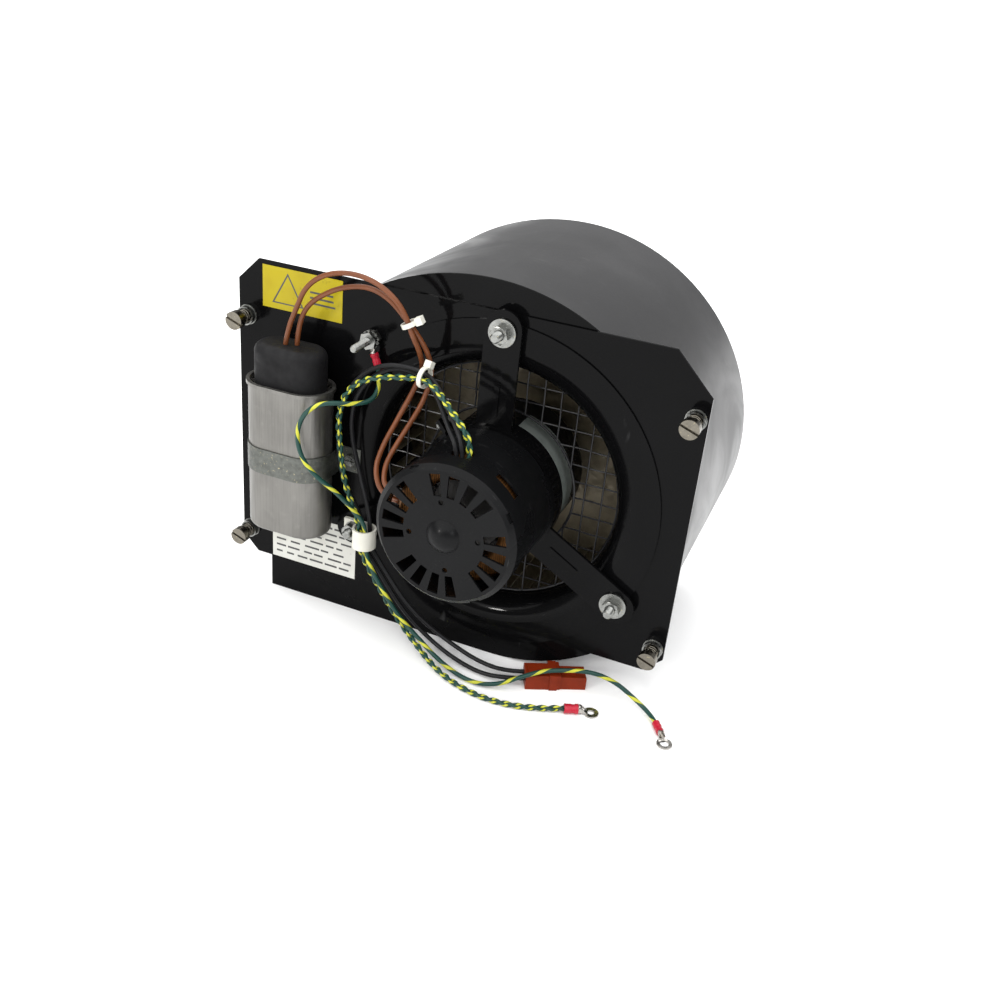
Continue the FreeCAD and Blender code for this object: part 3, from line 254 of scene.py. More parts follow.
def wheel_sheet(base):
    """Galvanised sheet: crystal spangle under a film of dust, on a dark base colour that paints the shade
    inside the scroll.
    """
    f = Finish("galvanised_wheel_in_painted_shade", base, 0.5, metallic=0.35)
    spangle = f.cells(240).outputs["Color"]
    split = f.nodes.new("ShaderNodeSeparateColor")
    f.links.new(spangle, split.inputs[0])
    f.tint(f.between(split.outputs[0], 0.2, 0.9, 0.0, 0.35), shade(base, 0.7))
    f.gloss(split.outputs[1], 0.0, 1.0, 0.34, 0.6)
    f.tint(f.between(f.noise(70, 5), 0.5, 0.75, 0.0, 0.45), (0.28, 0.24, 0.17))
    f.bump(f.noise(900, 3), 0.00002)
    return f.material


def drawn_can(base):
    """Deep-drawn aluminium with stains and draw marks up its side."""
    f = Finish("drawn_aluminium", base, 0.4, metallic=0.9)
    stain = f.noise(45, 6, 0.3, f.stretched(1.0, 1.0, 0.5))
    f.tint(f.between(stain, 0.40, 0.72, 0.0, 0.5), shade(base, 0.62))
    f.tint(f.between(f.noise(150, 5), 0.56, 0.78, 0.0, 0.3), shade(base, 1.25))
    draw = f.noise(30, 4, 0.0, f.stretched(30.0, 30.0, 1.0))
    f.gloss(draw, 0.3, 0.7, 0.3, 0.55)
    f.bump(draw, 0.00003)
    f.bump(f.noise(800, 3), 0.00002)
    return f.material


def moulded(name, base, low=0.35, high=0.55, grain=0.00002, fleck=0.6, specular=0.3):
    """Plain moulded plastic or extruded insulation, handled and slightly dusty."""
    f = Finish(name, base, low, specular=specular)
    f.gloss(f.noise(160, 4), 0.3, 0.7, low, high)
    f.tint(f.between(f.noise(90, 5), 0.4, 0.75, 0.0, 0.5), shade(base, fleck))
    f.tint(f.between(f.noise(1900, 2), 0.70, 0.80, 0.0, 0.3), shade(base, 1.7))
    f.bump(f.noise(1300, 3), grain)
    return f.material


def striped(name, base, stripe, share, turns_per_metre, low=0.3):
    """Extruded insulation with one stripe; its map's u runs round the lead and v along it in metres."""
    f = Finish(name, base, low, specular=0.3)
    uv = f.nodes.new("ShaderNodeUVMap")
    uv.uv_map = "lead"
    split = f.nodes.new("ShaderNodeSeparateXYZ")
    f.links.new(uv.outputs[0], split.inputs[0])
    turned = f.math("ADD", split.outputs[0], f.math("MULTIPLY", split.outputs[1], turns_per_metre))
    wander = f.math("MULTIPLY", f.noise(120, 2), 0.08)
    phase = f.math("FRACT", f.math("ADD", turned, wander))
    band = f.math("ABSOLUTE", f.math("SUBTRACT", phase, 0.5))
    f.tint(f.between(f.noise(70, 4), 0.4, 0.75, 0.0, 0.4), shade(base, 0.55))
    f.tint(f.between(band, share / 2, share / 2 + 0.03, 1.0, 0.0), stripe)
    f.gloss(f.noise(180, 3), 0.3, 0.7, low, low + 0.2)
    f.bump(f.noise(1200, 3), 0.00002)
    return f.material


def laminated(name, base, direction, pitch, bright=0.6):
    """Fine parallel lines: stacked laminations or wound wire."""
    f = Finish(name, base, 0.4, metallic=0.8)
    wave = f.nodes.new("ShaderNodeTexWave")
    wave.bands_direction = direction
    wave.inputs["Scale"].default_value = 0.314 / pitch
    wave.inputs["Distortion"].default_value = 1.2
    f.links.new(f.place, wave.inputs["Vector"])
    f.tint(f.between(wave.outputs["Fac"], 0.1, 0.9, 0.0, bright), shade(base, 0.35))
    f.gloss(f.noise(300, 3), 0.3, 0.7, 0.3, 0.5)
    f.bump(wave.outputs["Fac"], 0.0001)
    return f.material


def paper(name, base, stain):
    """A film label, with faded and rubbed patches."""
    f = Finish(name, base, 0.4, specular=0.2)
    f.tint(f.between(f.noise(40, 6, 0.5), 0.45, 0.75, 0.0, 0.55), stain)
    f.tint(f.between(f.noise(300, 4), 0.66, 0.72, 0.0, 0.4), shade(base, 0.5))
    f.gloss(f.noise(60, 4), 0.3, 0.7, 0.28, 0.5)
    f.bump(f.noise(500, 3), 0.00002)
    return f.material


MADE = {}


def made(name, maker, *details, **more):
    """The material of that name, made once."""
    if name not in MADE:
        MADE[name] = maker(*details, **more)
    return MADE[name]


def coat_node(node, material):
    """Gives a CAD node its finish."""
    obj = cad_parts[node]
    if not obj.material_slots:
        obj.data.materials.append(material)
    for slot in obj.material_slots:
        slot.material = material


# ---- shape helpers ----------------------------------------------------------------------------------------
def new_piece(name, verts, faces, material, uvs=None, smooth=True):
    """A mesh piece that rides on the housing."""
    mesh = bpy.data.meshes.new(name)
    mesh.from_pydata([tuple(v) for v in verts], [], faces)
    if uvs:
        layer = mesh.uv_layers.new(name="lead")
        for loop, uv in zip(layer.data, uvs):
            loop.uv = uv
    mesh.materials.append(material)
    if smooth:
        mesh.shade_smooth()
        mesh.set_sharp_from_angle(angle=CREASE)
    mesh.validate()
    obj = bpy.data.objects.new(name, mesh)
    bpy.context.scene.collection.objects.link(obj)
    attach(obj, HOUSING)
    return obj


def joined(shapes):
    """Several (verts, faces, uvs) as one; uvs is empty where a piece has no map."""
    verts, faces, uvs = [], [], []
    for more_verts, more_faces, more_uvs in shapes:
        shift = len(verts)
        verts += more_verts
        faces += [[i + shift for i in face] for face in more_faces]
        uvs += more_uvs
    return verts, faces, uvs


def carried_frames(path):
    """A pair of cross directions at each point of a path, carried along it without twist."""
    frames = []
    side = None
    for i, point in enumerate(path):
        ahead = path[min(i + 1, len(path) - 1)] - path[max(i - 1, 0)]
        ahead.normalize()
        if side is None:
            side = ahead.orthogonal().normalized()
        side = (side - ahead * side.dot(ahead)).normalized()
        frames.append((side, ahead.cross(side)))
    return frames


def swept(path, radius, sides):
    """A round tube along a path, as (verts, faces, uvs)."""
    verts, faces, uvs = [], [], []
    count = len(path)
    travelled = [0.0]
    for a, b in zip(path, path[1:]):
        travelled.append(travelled[-1] + (b - a).length)
    for (side, up), point in zip(carried_frames(path), path):
        for k in range(sides):
            angle = 2 * math.pi * k / sides
            verts.append(point + (side * math.cos(angle) + up * math.sin(angle)) * radius)
    for i in range(count - 1):
        near, far = travelled[i], travelled[i + 1]
        for k in range(sides):
            m = (k + 1) % sides
            faces.append([i * sides + k, i * sides + m, (i + 1) * sides + m, (i + 1) * sides + k])
            u0, u1 = k / sides, (k + 1) / sides
            uvs += [(u0, near), (u1, near), (u1, far), (u0, far)]
    faces.append(list(range(sides))[::-1])
    faces.append([(count - 1) * sides + k for k in range(sides)])
    uvs += [(0.0, 0.0)] * sides + [(0.0, travelled[-1])] * sides
    return verts, faces, uvs


def turned_ring(profile, centre, segments, moved):
    """A closed list of (radius, y) carried round an axis along Y, and reshaped at each angle by moved."""
    verts, faces = [], []
    rows = len(profile)
    for k in range(segments):
        angle = 2 * math.pi * k / segments
        for r, y in (moved(angle, *corner) for corner in profile):
            verts.append(Vector((centre.x + r * math.cos(angle), y, centre.z + r * math.sin(angle))))
    for k in range(segments):
        m = (k + 1) % segments
        for i in range(rows):
            j = (i + 1) % rows
            faces.append([k * rows + i, m * rows + i, m * rows + j, k * rows + j])
    return verts, faces, []


def hex_nut(centre, across, bore, y0, y1, turn):
    """A hexagon nut along Y, from y0 at the front to y1, with its outer corners chamfered at the front."""
    flat = across / 2

    def on_hexagon(angle, r, y):
        if r <= bore * 1.01:
            return r, y
        local = (angle - turn) % (math.pi / 3) - math.pi / 6
        corner = flat / math.cos(local)
        if r < flat:
            return r, y
        if y == y0:
            return corner, y + (corner - flat) * 0.75
        return corner, y

    profile = [(bore, y1), (flat * 1.2, y1), (flat * 1.2, y0), (flat * 0.96, y0), (bore * 1.06, y0),
               (bore, y0 + 0.0003)]
    return turned_ring(profile, centre, 72, on_hexagon)


def threaded_rod(centre, radius, y0, y1, pitch):
    """A stud along Y with a real helical thread and a chamfered tip at y0."""
    verts, faces = [], []
    sides = 24
    steps = max(8, int((y1 - y0) / pitch * 6))
    depth = pitch * 0.42
    for i in range(steps + 1):
        y = y0 + (y1 - y0) * i / steps
        for k in range(sides):
            phase = (y / pitch - k / sides) % 1.0
            r = radius - depth * abs(2 * phase - 1)
            r = min(r, radius * 0.72 + (y - y0))
            angle = 2 * math.pi * k / sides
            verts.append(Vector((centre.x + r * math.cos(angle), y, centre.z + r * math.sin(angle))))
    for i in range(steps):
        for k in range(sides):
            m = (k + 1) % sides
            faces.append([i * sides + k, (i + 1) * sides + k, (i + 1) * sides + m, i * sides + m])
    faces.append(list(range(sides)))
    faces.append([steps * sides + k for k in range(sides)][::-1])
    return verts, faces, []


def thin_block(x0, x1, z0, z1, y0, y1):
    """A flat printed mark or strip, facing the front."""
    verts = [Vector((x, y, z)) for y in (y0, y1) for x, z in ((x0, z0), (x1, z0), (x1, z1), (x0, z1))]
    faces = [[0, 1, 2, 3], [7, 6, 5, 4], [0, 4, 5, 1], [1, 5, 6, 2], [2, 6, 7, 3], [3, 7, 4, 0]]
    return verts, faces, []


# ---- lead routes, in millimetres from the wheel's axis ----------------------------------------------------
SHELL_HOLES_Y = -46.0


def beside_motor(radius, degrees):
    angle = math.radians(degrees)
    return radius * math.cos(angle), SHELL_HOLES_Y, radius * math.sin(angle)


def beyond(x, y, z, turn, distance):
    angle = math.radians(turn)
    return x + distance * math.cos(angle), y + distance * math.sin(angle), z


CONNECTOR_TURN = 27.0
INSIDE = 38
PORT_A = (41.96, -20.99, -111.5)
PORT_B = (38.78, -14.75, -111.5)
BROWN_LEFT = [
    (-130, -20, 68), (-128, -20, 79), (-122, -21, 92), (-116, -22.5, 105), (-105, -24, 115), (-89, -26, 121),
    (-71, -28, 121), (-57, -28.5, 114.5), (-49, -28.2, 105.5), (-44.5, -27.4, 94), (-42.5, -20, 82),
    (-43.5, -12.6, 69), (-48, -18, 54), (-52, -27, 40), (-56, -34.5, 27), (-57, -42, 14),
    beside_motor(49, 178.6), beside_motor(INSIDE, 178.6),
]
BROWN_RIGHT = [
    (-124, -17, 68), (-123, -17, 81), (-116, -19, 94.5), (-104, -21, 104), (-90, -23, 111.5),
    (-73, -25, 115.5),
    (-59.5, -25, 110.5), (-50, -25, 101.6), (-42.5, -22.6, 92), (-39, -15.5, 80), (-37.5, -12.8, 67),
    (-40, -18, 52), (-45, -24, 39), (-49, -32, 28), (-51.5, -40.5, 17),
    beside_motor(48.5, 173.2), beside_motor(INSIDE, 173.2),
]
SUPPLY_A = [
    beside_motor(INSIDE, 92.3), beside_motor(46.5, 92.3), (-9, -41.5, 54.5), (-18, -34.5, 61.5),
    (-27.5, -26.8, 68.5),
    (-37, -22.2, 71.9), (-51, -19.5, 72), (-65, -18, 69.5), (-78, -17, 62), (-88, -16, 50), (-94.5, -15, 35),
    (-96.8, -14.2, 18), (-96.5, -13.6, 0), (-92, -13, -17), (-84, -12.7, -29), (-78.6, -12.7, -40),
    (-77.6, -12.5, -57), (-69.5, -12, -68), (-60, -12, -81), (-48, -13, -95), (-31, -16, -106),
    (-8, -21.5, -113), (14, -26, -114.6), beyond(*PORT_A, CONNECTOR_TURN, -12), PORT_A,
]
SUPPLY_B = [
    beside_motor(INSIDE, 97.3), beside_motor(45.8, 97.3), (-13, -41, 51), (-21, -33, 57.5), (-29, -26, 64),
    (-37, -22.6, 68.3), (-47, -18, 69.5), (-60, -15, 68), (-73, -13.5, 60.5), (-84, -12, 48),
    (-90, -10.5, 32),
    (-89, -11, 14), (-83, -12.5, -3), (-78, -12.8, -20), (-74.2, -11.7, -38), (-73.5, -11.5, -56),
    (-65.5, -12, -66), (-55.5, -12.5, -78.5), (-45, -12.5, -90.5), (-31, -12.5, -101), (-10, -14.5, -109),
    (10, -18, -112.5), beyond(*PORT_B, CONNECTOR_TURN, -12), PORT_B,
]
LEAD_REST = -115.4
PAIR_REST = -114.8
EARTH_EYE = (135.0, -33.0, 123.7)
PAIR_EYE = (87.5, -27.0, 204.5)
GROUND_EYE = (-81.3, -4.9, 77.5)
GROUND_TURN = -67.4
TO_CRIMP = 12.7
EYE_REST = -116.75
BARREL_REST = -115.85


def crimp_end(eye, lead_radius, back=0.0):
    """Where a lead meets the barrel of a terminal on the floor, or a little before it."""
    x, y, turn = eye
    return beyond(x, y, BARREL_REST + lead_radius, turn, TO_CRIMP + back)


def ground_crimp_end(ahead=0.0):
    x, y, z = GROUND_EYE
    angle = math.radians(GROUND_TURN)
    reach = TO_CRIMP + ahead
    return x + reach * math.cos(angle), y - 2.3, z + reach * math.sin(angle)


EARTH_PAIR = [
    beside_motor(INSIDE, 86.4), beside_motor(48, 86.4), (-4, -45.5, 57.5), (-15, -40, 64), (-26, -32.5, 69),
    (-37, -26.8, 70.5), (-49, -24.6, 67.5), (-63, -24, 64.5), (-77, -24, 59), (-87, -24, 49),
    (-91.5, -23.5, 35),
    (-92, -21.5, 18), (-91, -19.5, 1), (-89, -18.2, -14), (-83.5, -17.8, -28), (-78, -17.8, -41),
    (-77, -17.6, -58), (-71, -17.4, -69), (-62, -17.4, -82), (-51, -18.5, -96), (-34, -24, -108),
    (-9, -38.5, -114.2), (17, -47, PAIR_REST), (41, -46.5, PAIR_REST), (61, -39, PAIR_REST),
    crimp_end(PAIR_EYE, 2.0, 7), crimp_end(PAIR_EYE, 2.0),
]
EARTH_LEAD = [
    ground_crimp_end(), ground_crimp_end(5), (-71.2, -12.5, 50), (-73, -20, 45), (-80.5, -28, 44.5),
    (-88.5, -35, 46), (-97, -40, 44.5), (-105.5, -41, 36), (-109.5, -41, 23), (-106.5, -41, 9.5),
    (-98, -39.5, -1.5), (-88.5, -33.5, -11), (-81, -25.5, -24), (-73.5, -18.4, -38), (-73, -18.6, -57),
    (-67.5, -20.5, -67), (-58.5, -21, -79.5), (-47, -22.5, -93), (-31.5, -24.5, -103.5), (-11, -30, -113.2),
    (11, -36.5, LEAD_REST), (28, -34.5, -113), (41, -27.5, -106.5), (52, -19.6, -103), (66, -12.5, -101.8),
    (81, -7.5, -101.3), (95, -6, -104.5), (108, -7.5, -110.5),
    crimp_end(EARTH_EYE, 1.4, 10), crimp_end(EARTH_EYE, 1.4),
]


def lead_line(points):
    """The smooth line of a lead that has these control points."""
    curve = bpy.data.curves.new("route", "CURVE")
    curve.dimensions = "3D"
    curve.resolution_u = 10
    spline = curve.splines.new("NURBS")
    spline.points.add(len(points) - 1)
    for control, point in zip(spline.points, points):
        control.co = (*about_axis(*point), 1.0)
    spline.order_u = 3
    spline.use_endpoint_u = True
    holder = bpy.data.objects.new("route", curve)
    mesh = bpy.data.meshes.new_from_object(holder)
    line = [v.co.copy() for v in mesh.vertices]
    bpy.data.objects.remove(holder)
    bpy.data.curves.remove(curve)
    bpy.data.meshes.remove(mesh)
    return line


def length_of(line):
    return sum((b - a).length for a, b in zip(line, line[1:]))


# ---- operators --------------------------------------------------------------------------------------------
def gloss_enamel():
    return made("gloss", enamel, "gloss_enamel", colours().gloss, 0.08, 0.20, 0.10, specular=0.06)


def drum_enamel():
    return made("drum", enamel, "drum_enamel", colours().drum, 0.30, 0.46, 0.3, 0.00003, 0.7)


def motor_enamel():
    return made("motor", enamel, "motor_enamel", colours().motor, 0.24, 0.38, 0.2, 0.00005, 0.09)


def zinc_plate():
    return made("zinc", plated, "zinc_plate", colours().zinc)


def ground_steel():
    return made("steel", plated, "ground_steel", (0.55, 0.55, 0.55), 0.16, 0.3)


def tinned_metal():
    return made("tinned", plated, "tinned_metal", (0.46, 0.44, 0.41), 0.16, 0.34)


def rubber():
    return made("rubber", moulded, "soft_rubber", colours().rubber, 0.5, 0.75, 0.00005, 0.5, 0.15)


def nylon():
    return made("nylon", moulded, "natural_nylon", colours().nylon, 0.28, 0.45, 0.00002, 0.8)


def ink():
    return made("ink", moulded, "label_ink", (0.06, 0.06, 0.06), 0.4, 0.5, 0.00001, 0.6)


class BLOWER_OT_housing(bpy.types.Operator):
    """Enamels the plate, the scroll and the inlet rings"""

    bl_idname = "blower.housing"
    bl_label = "Plate and scroll"

    def execute(self, context):
        for node in ("mounting_plate", "scroll_front_side", "inlet_rings"):
            coat_node(node, gloss_enamel())
        for node in ("scroll_back_side", "scroll_wrap"):
            coat_node(node, drum_enamel())
        return {"FINISHED"}


class BLOWER_OT_guard(bpy.types.Operator):
    """Lays the inlet mesh's round wires, a little bent by handling"""

    bl_idname = "blower.guard"
    bl_label = "Inlet guard"

    def execute(self, context):
        low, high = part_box("inlet_guard")
        depth = (low[1] + high[1]) / 2
        outer = (high[0] - low[0]) / 2 - 0.0009
        inner = 0.0479
        rim_wire, crossing = 0.00082, 0.00045
        radius = sizes().guard_wire / 2
        pitch = sizes().guard_pitch
        wander = random.Random(7)
        shapes = []
        for ring in (outer, inner):
            path = [about_axis(0, 0, 0) + Vector((ring * math.cos(a), depth, ring * math.sin(a)))
                    for a in (2 * math.pi * k / 72 for k in range(73))]
            shapes.append(swept(path, rim_wire, 8))
        steps = int((outer - 0.001) // pitch)
        for n in range(-steps, steps + 1):
            at = (n + 0.13) * pitch
            half = math.sqrt(outer ** 2 - at ** 2)
            gap = math.sqrt(max(inner ** 2 - at ** 2, 0.0))
            spans = [(-half, -gap), (gap, half)] if gap > 0 else [(-half, half)]
            for a, b in spans:
                for upright in (False, True):
                    sway = wander.uniform(-0.0005, 0.0005)
                    layer = -crossing if upright else crossing
                    path = []
                    for k in range(13):
                        t = k / 12
                        along = a + (b - a) * t
                        across = at + sway * math.sin(math.pi * t) * math.sin(5 * t + n)
                        x, z = (across, along) if upright else (along, across)
                        path.append(AXIS + Vector((x, depth + layer, z)))
                    shapes.append(swept(path, radius, 8))
        material = made("guard", moulded, "guard_wire", (0.012, 0.012, 0.013), 0.25, 0.4)
        guard = new_piece("inlet_guard_wires", *joined(shapes)[:2], material)
        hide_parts("inlet_guard")
        return {"FINISHED"}


class BLOWER_OT_bracket(bpy.types.Operator):
    """Finishes the motor's band and arms, and cuts threads and chamfers on their studs and nuts"""

    bl_idname = "blower.bracket"
    bl_label = "Motor bracket"

    def execute(self, context):
        for node in ("motor_band", "bracket_arms"):
            coat_node(node, gloss_enamel())
        for node in ("band_clamp_screw", "arm_washers"):
            coat_node(node, zinc_plate())
        coat_node("arm_grommets", rubber())
        coat_node("cable_clip", nylon())
        circle, first = 0.0997, 89.6
        root, stud_radius, nut_across, nut_height = 0.0012, 0.003, 0.0096, 0.005
        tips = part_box("arm_studs")[0][1]
        studs, nuts = [], []
        for n in range(3):
            angle = math.radians(first + 120 * n)
            centre = AXIS + Vector((math.cos(angle), 0, math.sin(angle))) * circle
            studs.append(threaded_rod(centre, stud_radius, tips, root, sizes().thread_pitch))
            back = about_axis(0, -11.1 if n == 1 else -9.1, 0).y
            turn = angle + math.radians(15)
            nuts.append(hex_nut(centre, nut_across, stud_radius, back - nut_height, back, turn))
        stud_piece = new_piece("arm_stud_threads", *joined(studs)[:2], zinc_plate())
        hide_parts("arm_studs")
        nut_piece = new_piece("arm_nuts_chamfered", *joined(nuts)[:2], zinc_plate())
        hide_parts("arm_nuts")
        return {"FINISHED"}


class BLOWER_OT_motor(bpy.types.Operator):
    """Finishes the motor, inside and out, and wraps its film label round the shell"""

    bl_idname = "blower.motor"
    bl_label = "Motor"

    def execute(self, context):
        for node in ("motor_shell", "front_endbell", "rear_endbell", "bearing_cap"):
            coat_node(node, motor_enamel())
        for node in ("stator_core", "rotor_core"):
            coat_node(node, made("core", laminated, "stacked_steel", (0.10, 0.097, 0.094), "Y", 0.0007))
        wire = made("wire", laminated, "varnished_wire", (0.20, 0.085, 0.022), "X", 0.0012)
        coat_node("stator_windings", wire)
        coat_node("motor_bearings", made("bronze", plated, "sintered_bronze", (0.5, 0.36, 0.2)))
        coat_node("motor_shaft", ground_steel())
        shell = (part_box("motor_shell")[1][0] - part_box("motor_shell")[0][0]) / 2
        y0, y1 = about_axis(0, 6, 0).y, about_axis(0, 27, 0).y
        verts, faces = [], []
        start, span, steps = -18, 94, 48
        lift = shell + 0.00012
        for k in range(steps + 1):
            angle = math.radians(start + span * k / steps)
            for y in (y0, y1):
                verts.append(AXIS + Vector((lift * math.cos(angle), y, lift * math.sin(angle))))
        for k in range(steps):
            faces.append([2 * k, 2 * k + 1, 2 * k + 3, 2 * k + 2])
        film = made("wrap", paper, "wrap_label", (0.13, 0.145, 0.135), (0.04, 0.045, 0.045))
        wrap = new_piece("shell_label", verts, faces, film)
        return {"FINISHED"}


class BLOWER_OT_wheel(bpy.types.Operator):
    """Finishes the caged wheel and its hub"""

    bl_idname = "blower.wheel"
    bl_label = "Wheel"

    def execute(self, context):
        # painted shade: the wheel's dark base colour stands for the shade inside the scroll
        sheet = made("wheel", wheel_sheet, colours().wheel)
        for node in ("wheel_disc", "wheel_blades", "wheel_end_rings"):
            coat_node(node, sheet)
        coat_node("wheel_hub", zinc_plate())
        coat_node("hub_set_screw", ground_steel())
        return {"FINISHED"}


class BLOWER_OT_screws(bpy.types.Operator):
    """Finishes the captive screws and winds their springs"""

    bl_idname = "blower.screws"
    bl_label = "Captive screws"

    def execute(self, context):
        bright = made("bright", plated, "bright_nickel", (0.16, 0.147, 0.122), 0.16, 0.34)
        coat_node("screw_ferrules", zinc_plate())
        for place in PLACES:
            coat_node("captive_screw_" + place, bright)
            node = "captive_spring_" + place
            low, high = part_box(node)
            centre = middle(node)
            wire = sizes().spring_wire
            mean = (high[0] - low[0]) / 2 - wire / 2
            turns, steps = 5, 100
            path = []
            for k in range(steps + 1):
                t = k / steps
                y = low[1] + wire / 2 + (high[1] - low[1] - wire) * t
                angle = 2 * math.pi * turns * t
                path.append(Vector((centre.x + mean * math.cos(angle), y, centre.z + mean * math.sin(angle))))
            coil = new_piece("spring_coil_" + place, *swept(path, wire / 2, 8)[:2], bright)
            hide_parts(node)
            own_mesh(coil)
        return {"FINISHED"}


class BLOWER_OT_capacitor(bpy.types.Operator):
    """Finishes the run capacitor, its strap and its rubber boot"""

    bl_idname = "blower.capacitor"
    bl_label = "Capacitor"

    def execute(self, context):
        coat_node("capacitor_can", made("can", drawn_can, colours().can))
        coat_node("capacitor_strap", made("strap", plated, "strap_steel", (0.125, 0.13, 0.12), 0.4, 0.6))
        coat_node("strap_screws", zinc_plate())
        coat_node("capacitor_boot", rubber())
        coat_node("capacitor_lid", tinned_metal())
        coat_node("capacitor_core", made("film", moulded, "film_winding", (0.5, 0.42, 0.25), 0.3, 0.5))
        return {"FINISHED"}


class BLOWER_OT_labels(bpy.types.Operator):
    """Prints the two plain labels: a caution triangle and rows of blank bars"""

    bl_idname = "blower.labels"
    bl_label = "Labels"

    def execute(self, context):
        yellow = made("yellow", paper, "caution_film", (0.36, 0.29, 0.006), (0.29, 0.22, 0.005))
        white = made("white", paper, "rating_film", (0.56, 0.56, 0.52), (0.40, 0.39, 0.35))
        coat_node("warning_label", yellow)
        coat_node("rating_label", white)
        rows = random.Random(11)
        low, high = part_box("warning_label")
        face, back = low[1] - PRINT_PROUD, low[1] + PRINT_DEPTH
        wide, tall = high[0] - low[0], high[2] - low[2]
        bar = 0.0006
        shapes = []
        for row in range(3):
            z = low[2] + tall * (0.58 - 0.13 * row)
            end = rows.uniform(0.14, 0.08) * wide
            shapes.append(thin_block(low[0] + 0.60 * wide, high[0] - end, z - bar, z + bar, face, back))
        foot, top = low[2] + 0.14 * tall, low[2] + 0.90 * tall
        left, right = low[0] + 0.12 * wide, low[0] + 0.52 * wide
        centre = (left + right) / 2
        corners = [(left, foot), (right, foot), (centre, top)]
        inner = [(centre + (x - centre) * 0.86, foot + 0.0008 + (z - foot) * 0.86) for x, z in corners]
        verts = [Vector((x, y, z)) for y in (face, back) for x, z in corners + inner]
        faces = []
        for k in range(3):
            m = (k + 1) % 3
            faces.append([k, m, 3 + m, 3 + k])
            faces.append([6 + m, 6 + k, 9 + k, 9 + m])
            faces.append([k, 6 + k, 6 + m, m])
            faces.append([3 + m, 9 + m, 9 + k, 3 + k])
        shapes.append((verts, faces, []))
        marks = new_piece("caution_marks", *joined(shapes)[:2], ink(), smooth=False)
        low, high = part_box("rating_label")
        face, back = low[1] - PRINT_PROUD, low[1] + PRINT_DEPTH
        edge, bar = 0.003, 0.0007
        shapes = []
        for row in range(7):
            z = high[2] - 0.004 - row * 0.0047
            x = low[0] + edge
            while x < high[0] - 0.008:
                width = rows.uniform(0.004, 0.012)
                end = min(x + width, high[0] - edge)
                shapes.append(thin_block(x, end, z - bar, z + bar, face, back))
                x += width + rows.uniform(0.0012, 0.004)
        marks = new_piece("rating_marks", *joined(shapes)[:2], ink(), smooth=False)
        return {"FINISHED"}


def plain_cable(name, route, diameter, material, slot_name, node, **facts):
    """One lead: a smooth tube along its route that stands for its CAD node."""
    line = lead_line(route)
    verts, faces, uvs = swept(line, diameter / 2, 14)
    piece = new_piece(name, verts, faces, material, uvs=uvs)
    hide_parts(node)
    print(f"{name} {length_of(line):.4f} m")
    return piece


class BLOWER_OT_leads(bpy.types.Operator):
    """Runs the brown, black and striped leads"""

    bl_idname = "blower.leads"
    bl_label = "Leads"

    def execute(self, context):
        use = sizes()
        brown = made("brown", moulded, "brown_insulation", colours().brown, 0.3, 0.45)
        black = made("black", moulded, "black_insulation", (0.010, 0.010, 0.011), 0.32, 0.5, specular=0.18)
        facts = {"stiffness": "medium", "lay": "loose"}
        for side, route in (("left", BROWN_LEFT), ("right", BROWN_RIGHT)):
            plain_cable("capacitor_cable_" + side, route, use.brown_diameter, brown, "brown_pvc",
                        "brown_lead_" + side, far_end="object", **facts)
        for letter, route in (("a", SUPPLY_A), ("b", SUPPLY_B)):
            plain_cable("supply_cable_" + letter, route, use.supply_diameter, black, "black_pvc",
                        "supply_lead_" + letter, far_end="connector",
                        with_pieces=["connector_socket", "connector_plug"], **facts)
        green, yellow = colours().green, colours().yellow
        stripe = made("stripe", striped, "striped_insulation", green, yellow, 0.24, 1 / use.stripe_pitch)
        plain_cable("earth_cable", EARTH_LEAD, use.earth_diameter, stripe, "earth_pvc", "earth_lead",
                    far_end="fitting", with_pieces=["earth_crimp", "earth_sleeve"], **facts)
        line = lead_line(EARTH_PAIR)
        frames = carried_frames(line)
        strand = use.pair_diameter / 4
        shapes = []
        for start in (0.0, math.pi):
            path = []
            travelled = 0.0
            for i, (point, (side, up)) in enumerate(zip(line, frames)):
                if i:
                    travelled += (point - line[i - 1]).length
                angle = start + 2 * math.pi * travelled / use.pair_pitch
                path.append(point + (side * math.cos(angle) + up * math.sin(angle)) * strand)
            shapes.append(swept(path, strand, 12))
        fine = made("fine_stripe", striped, "pair_insulation", green, yellow, 0.24, 1 / 0.008)
        verts, faces, uvs = joined(shapes)
        pair = new_piece("earth_pair_twisted", verts, faces, fine, uvs=uvs)
        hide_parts("earth_pair")
        print(f"earth_pair_twisted {length_of(line):.4f} m")
        for node in ("brown_lead_tie", "harness_tie"):
            coat_node(node, nylon())
        return {"FINISHED"}


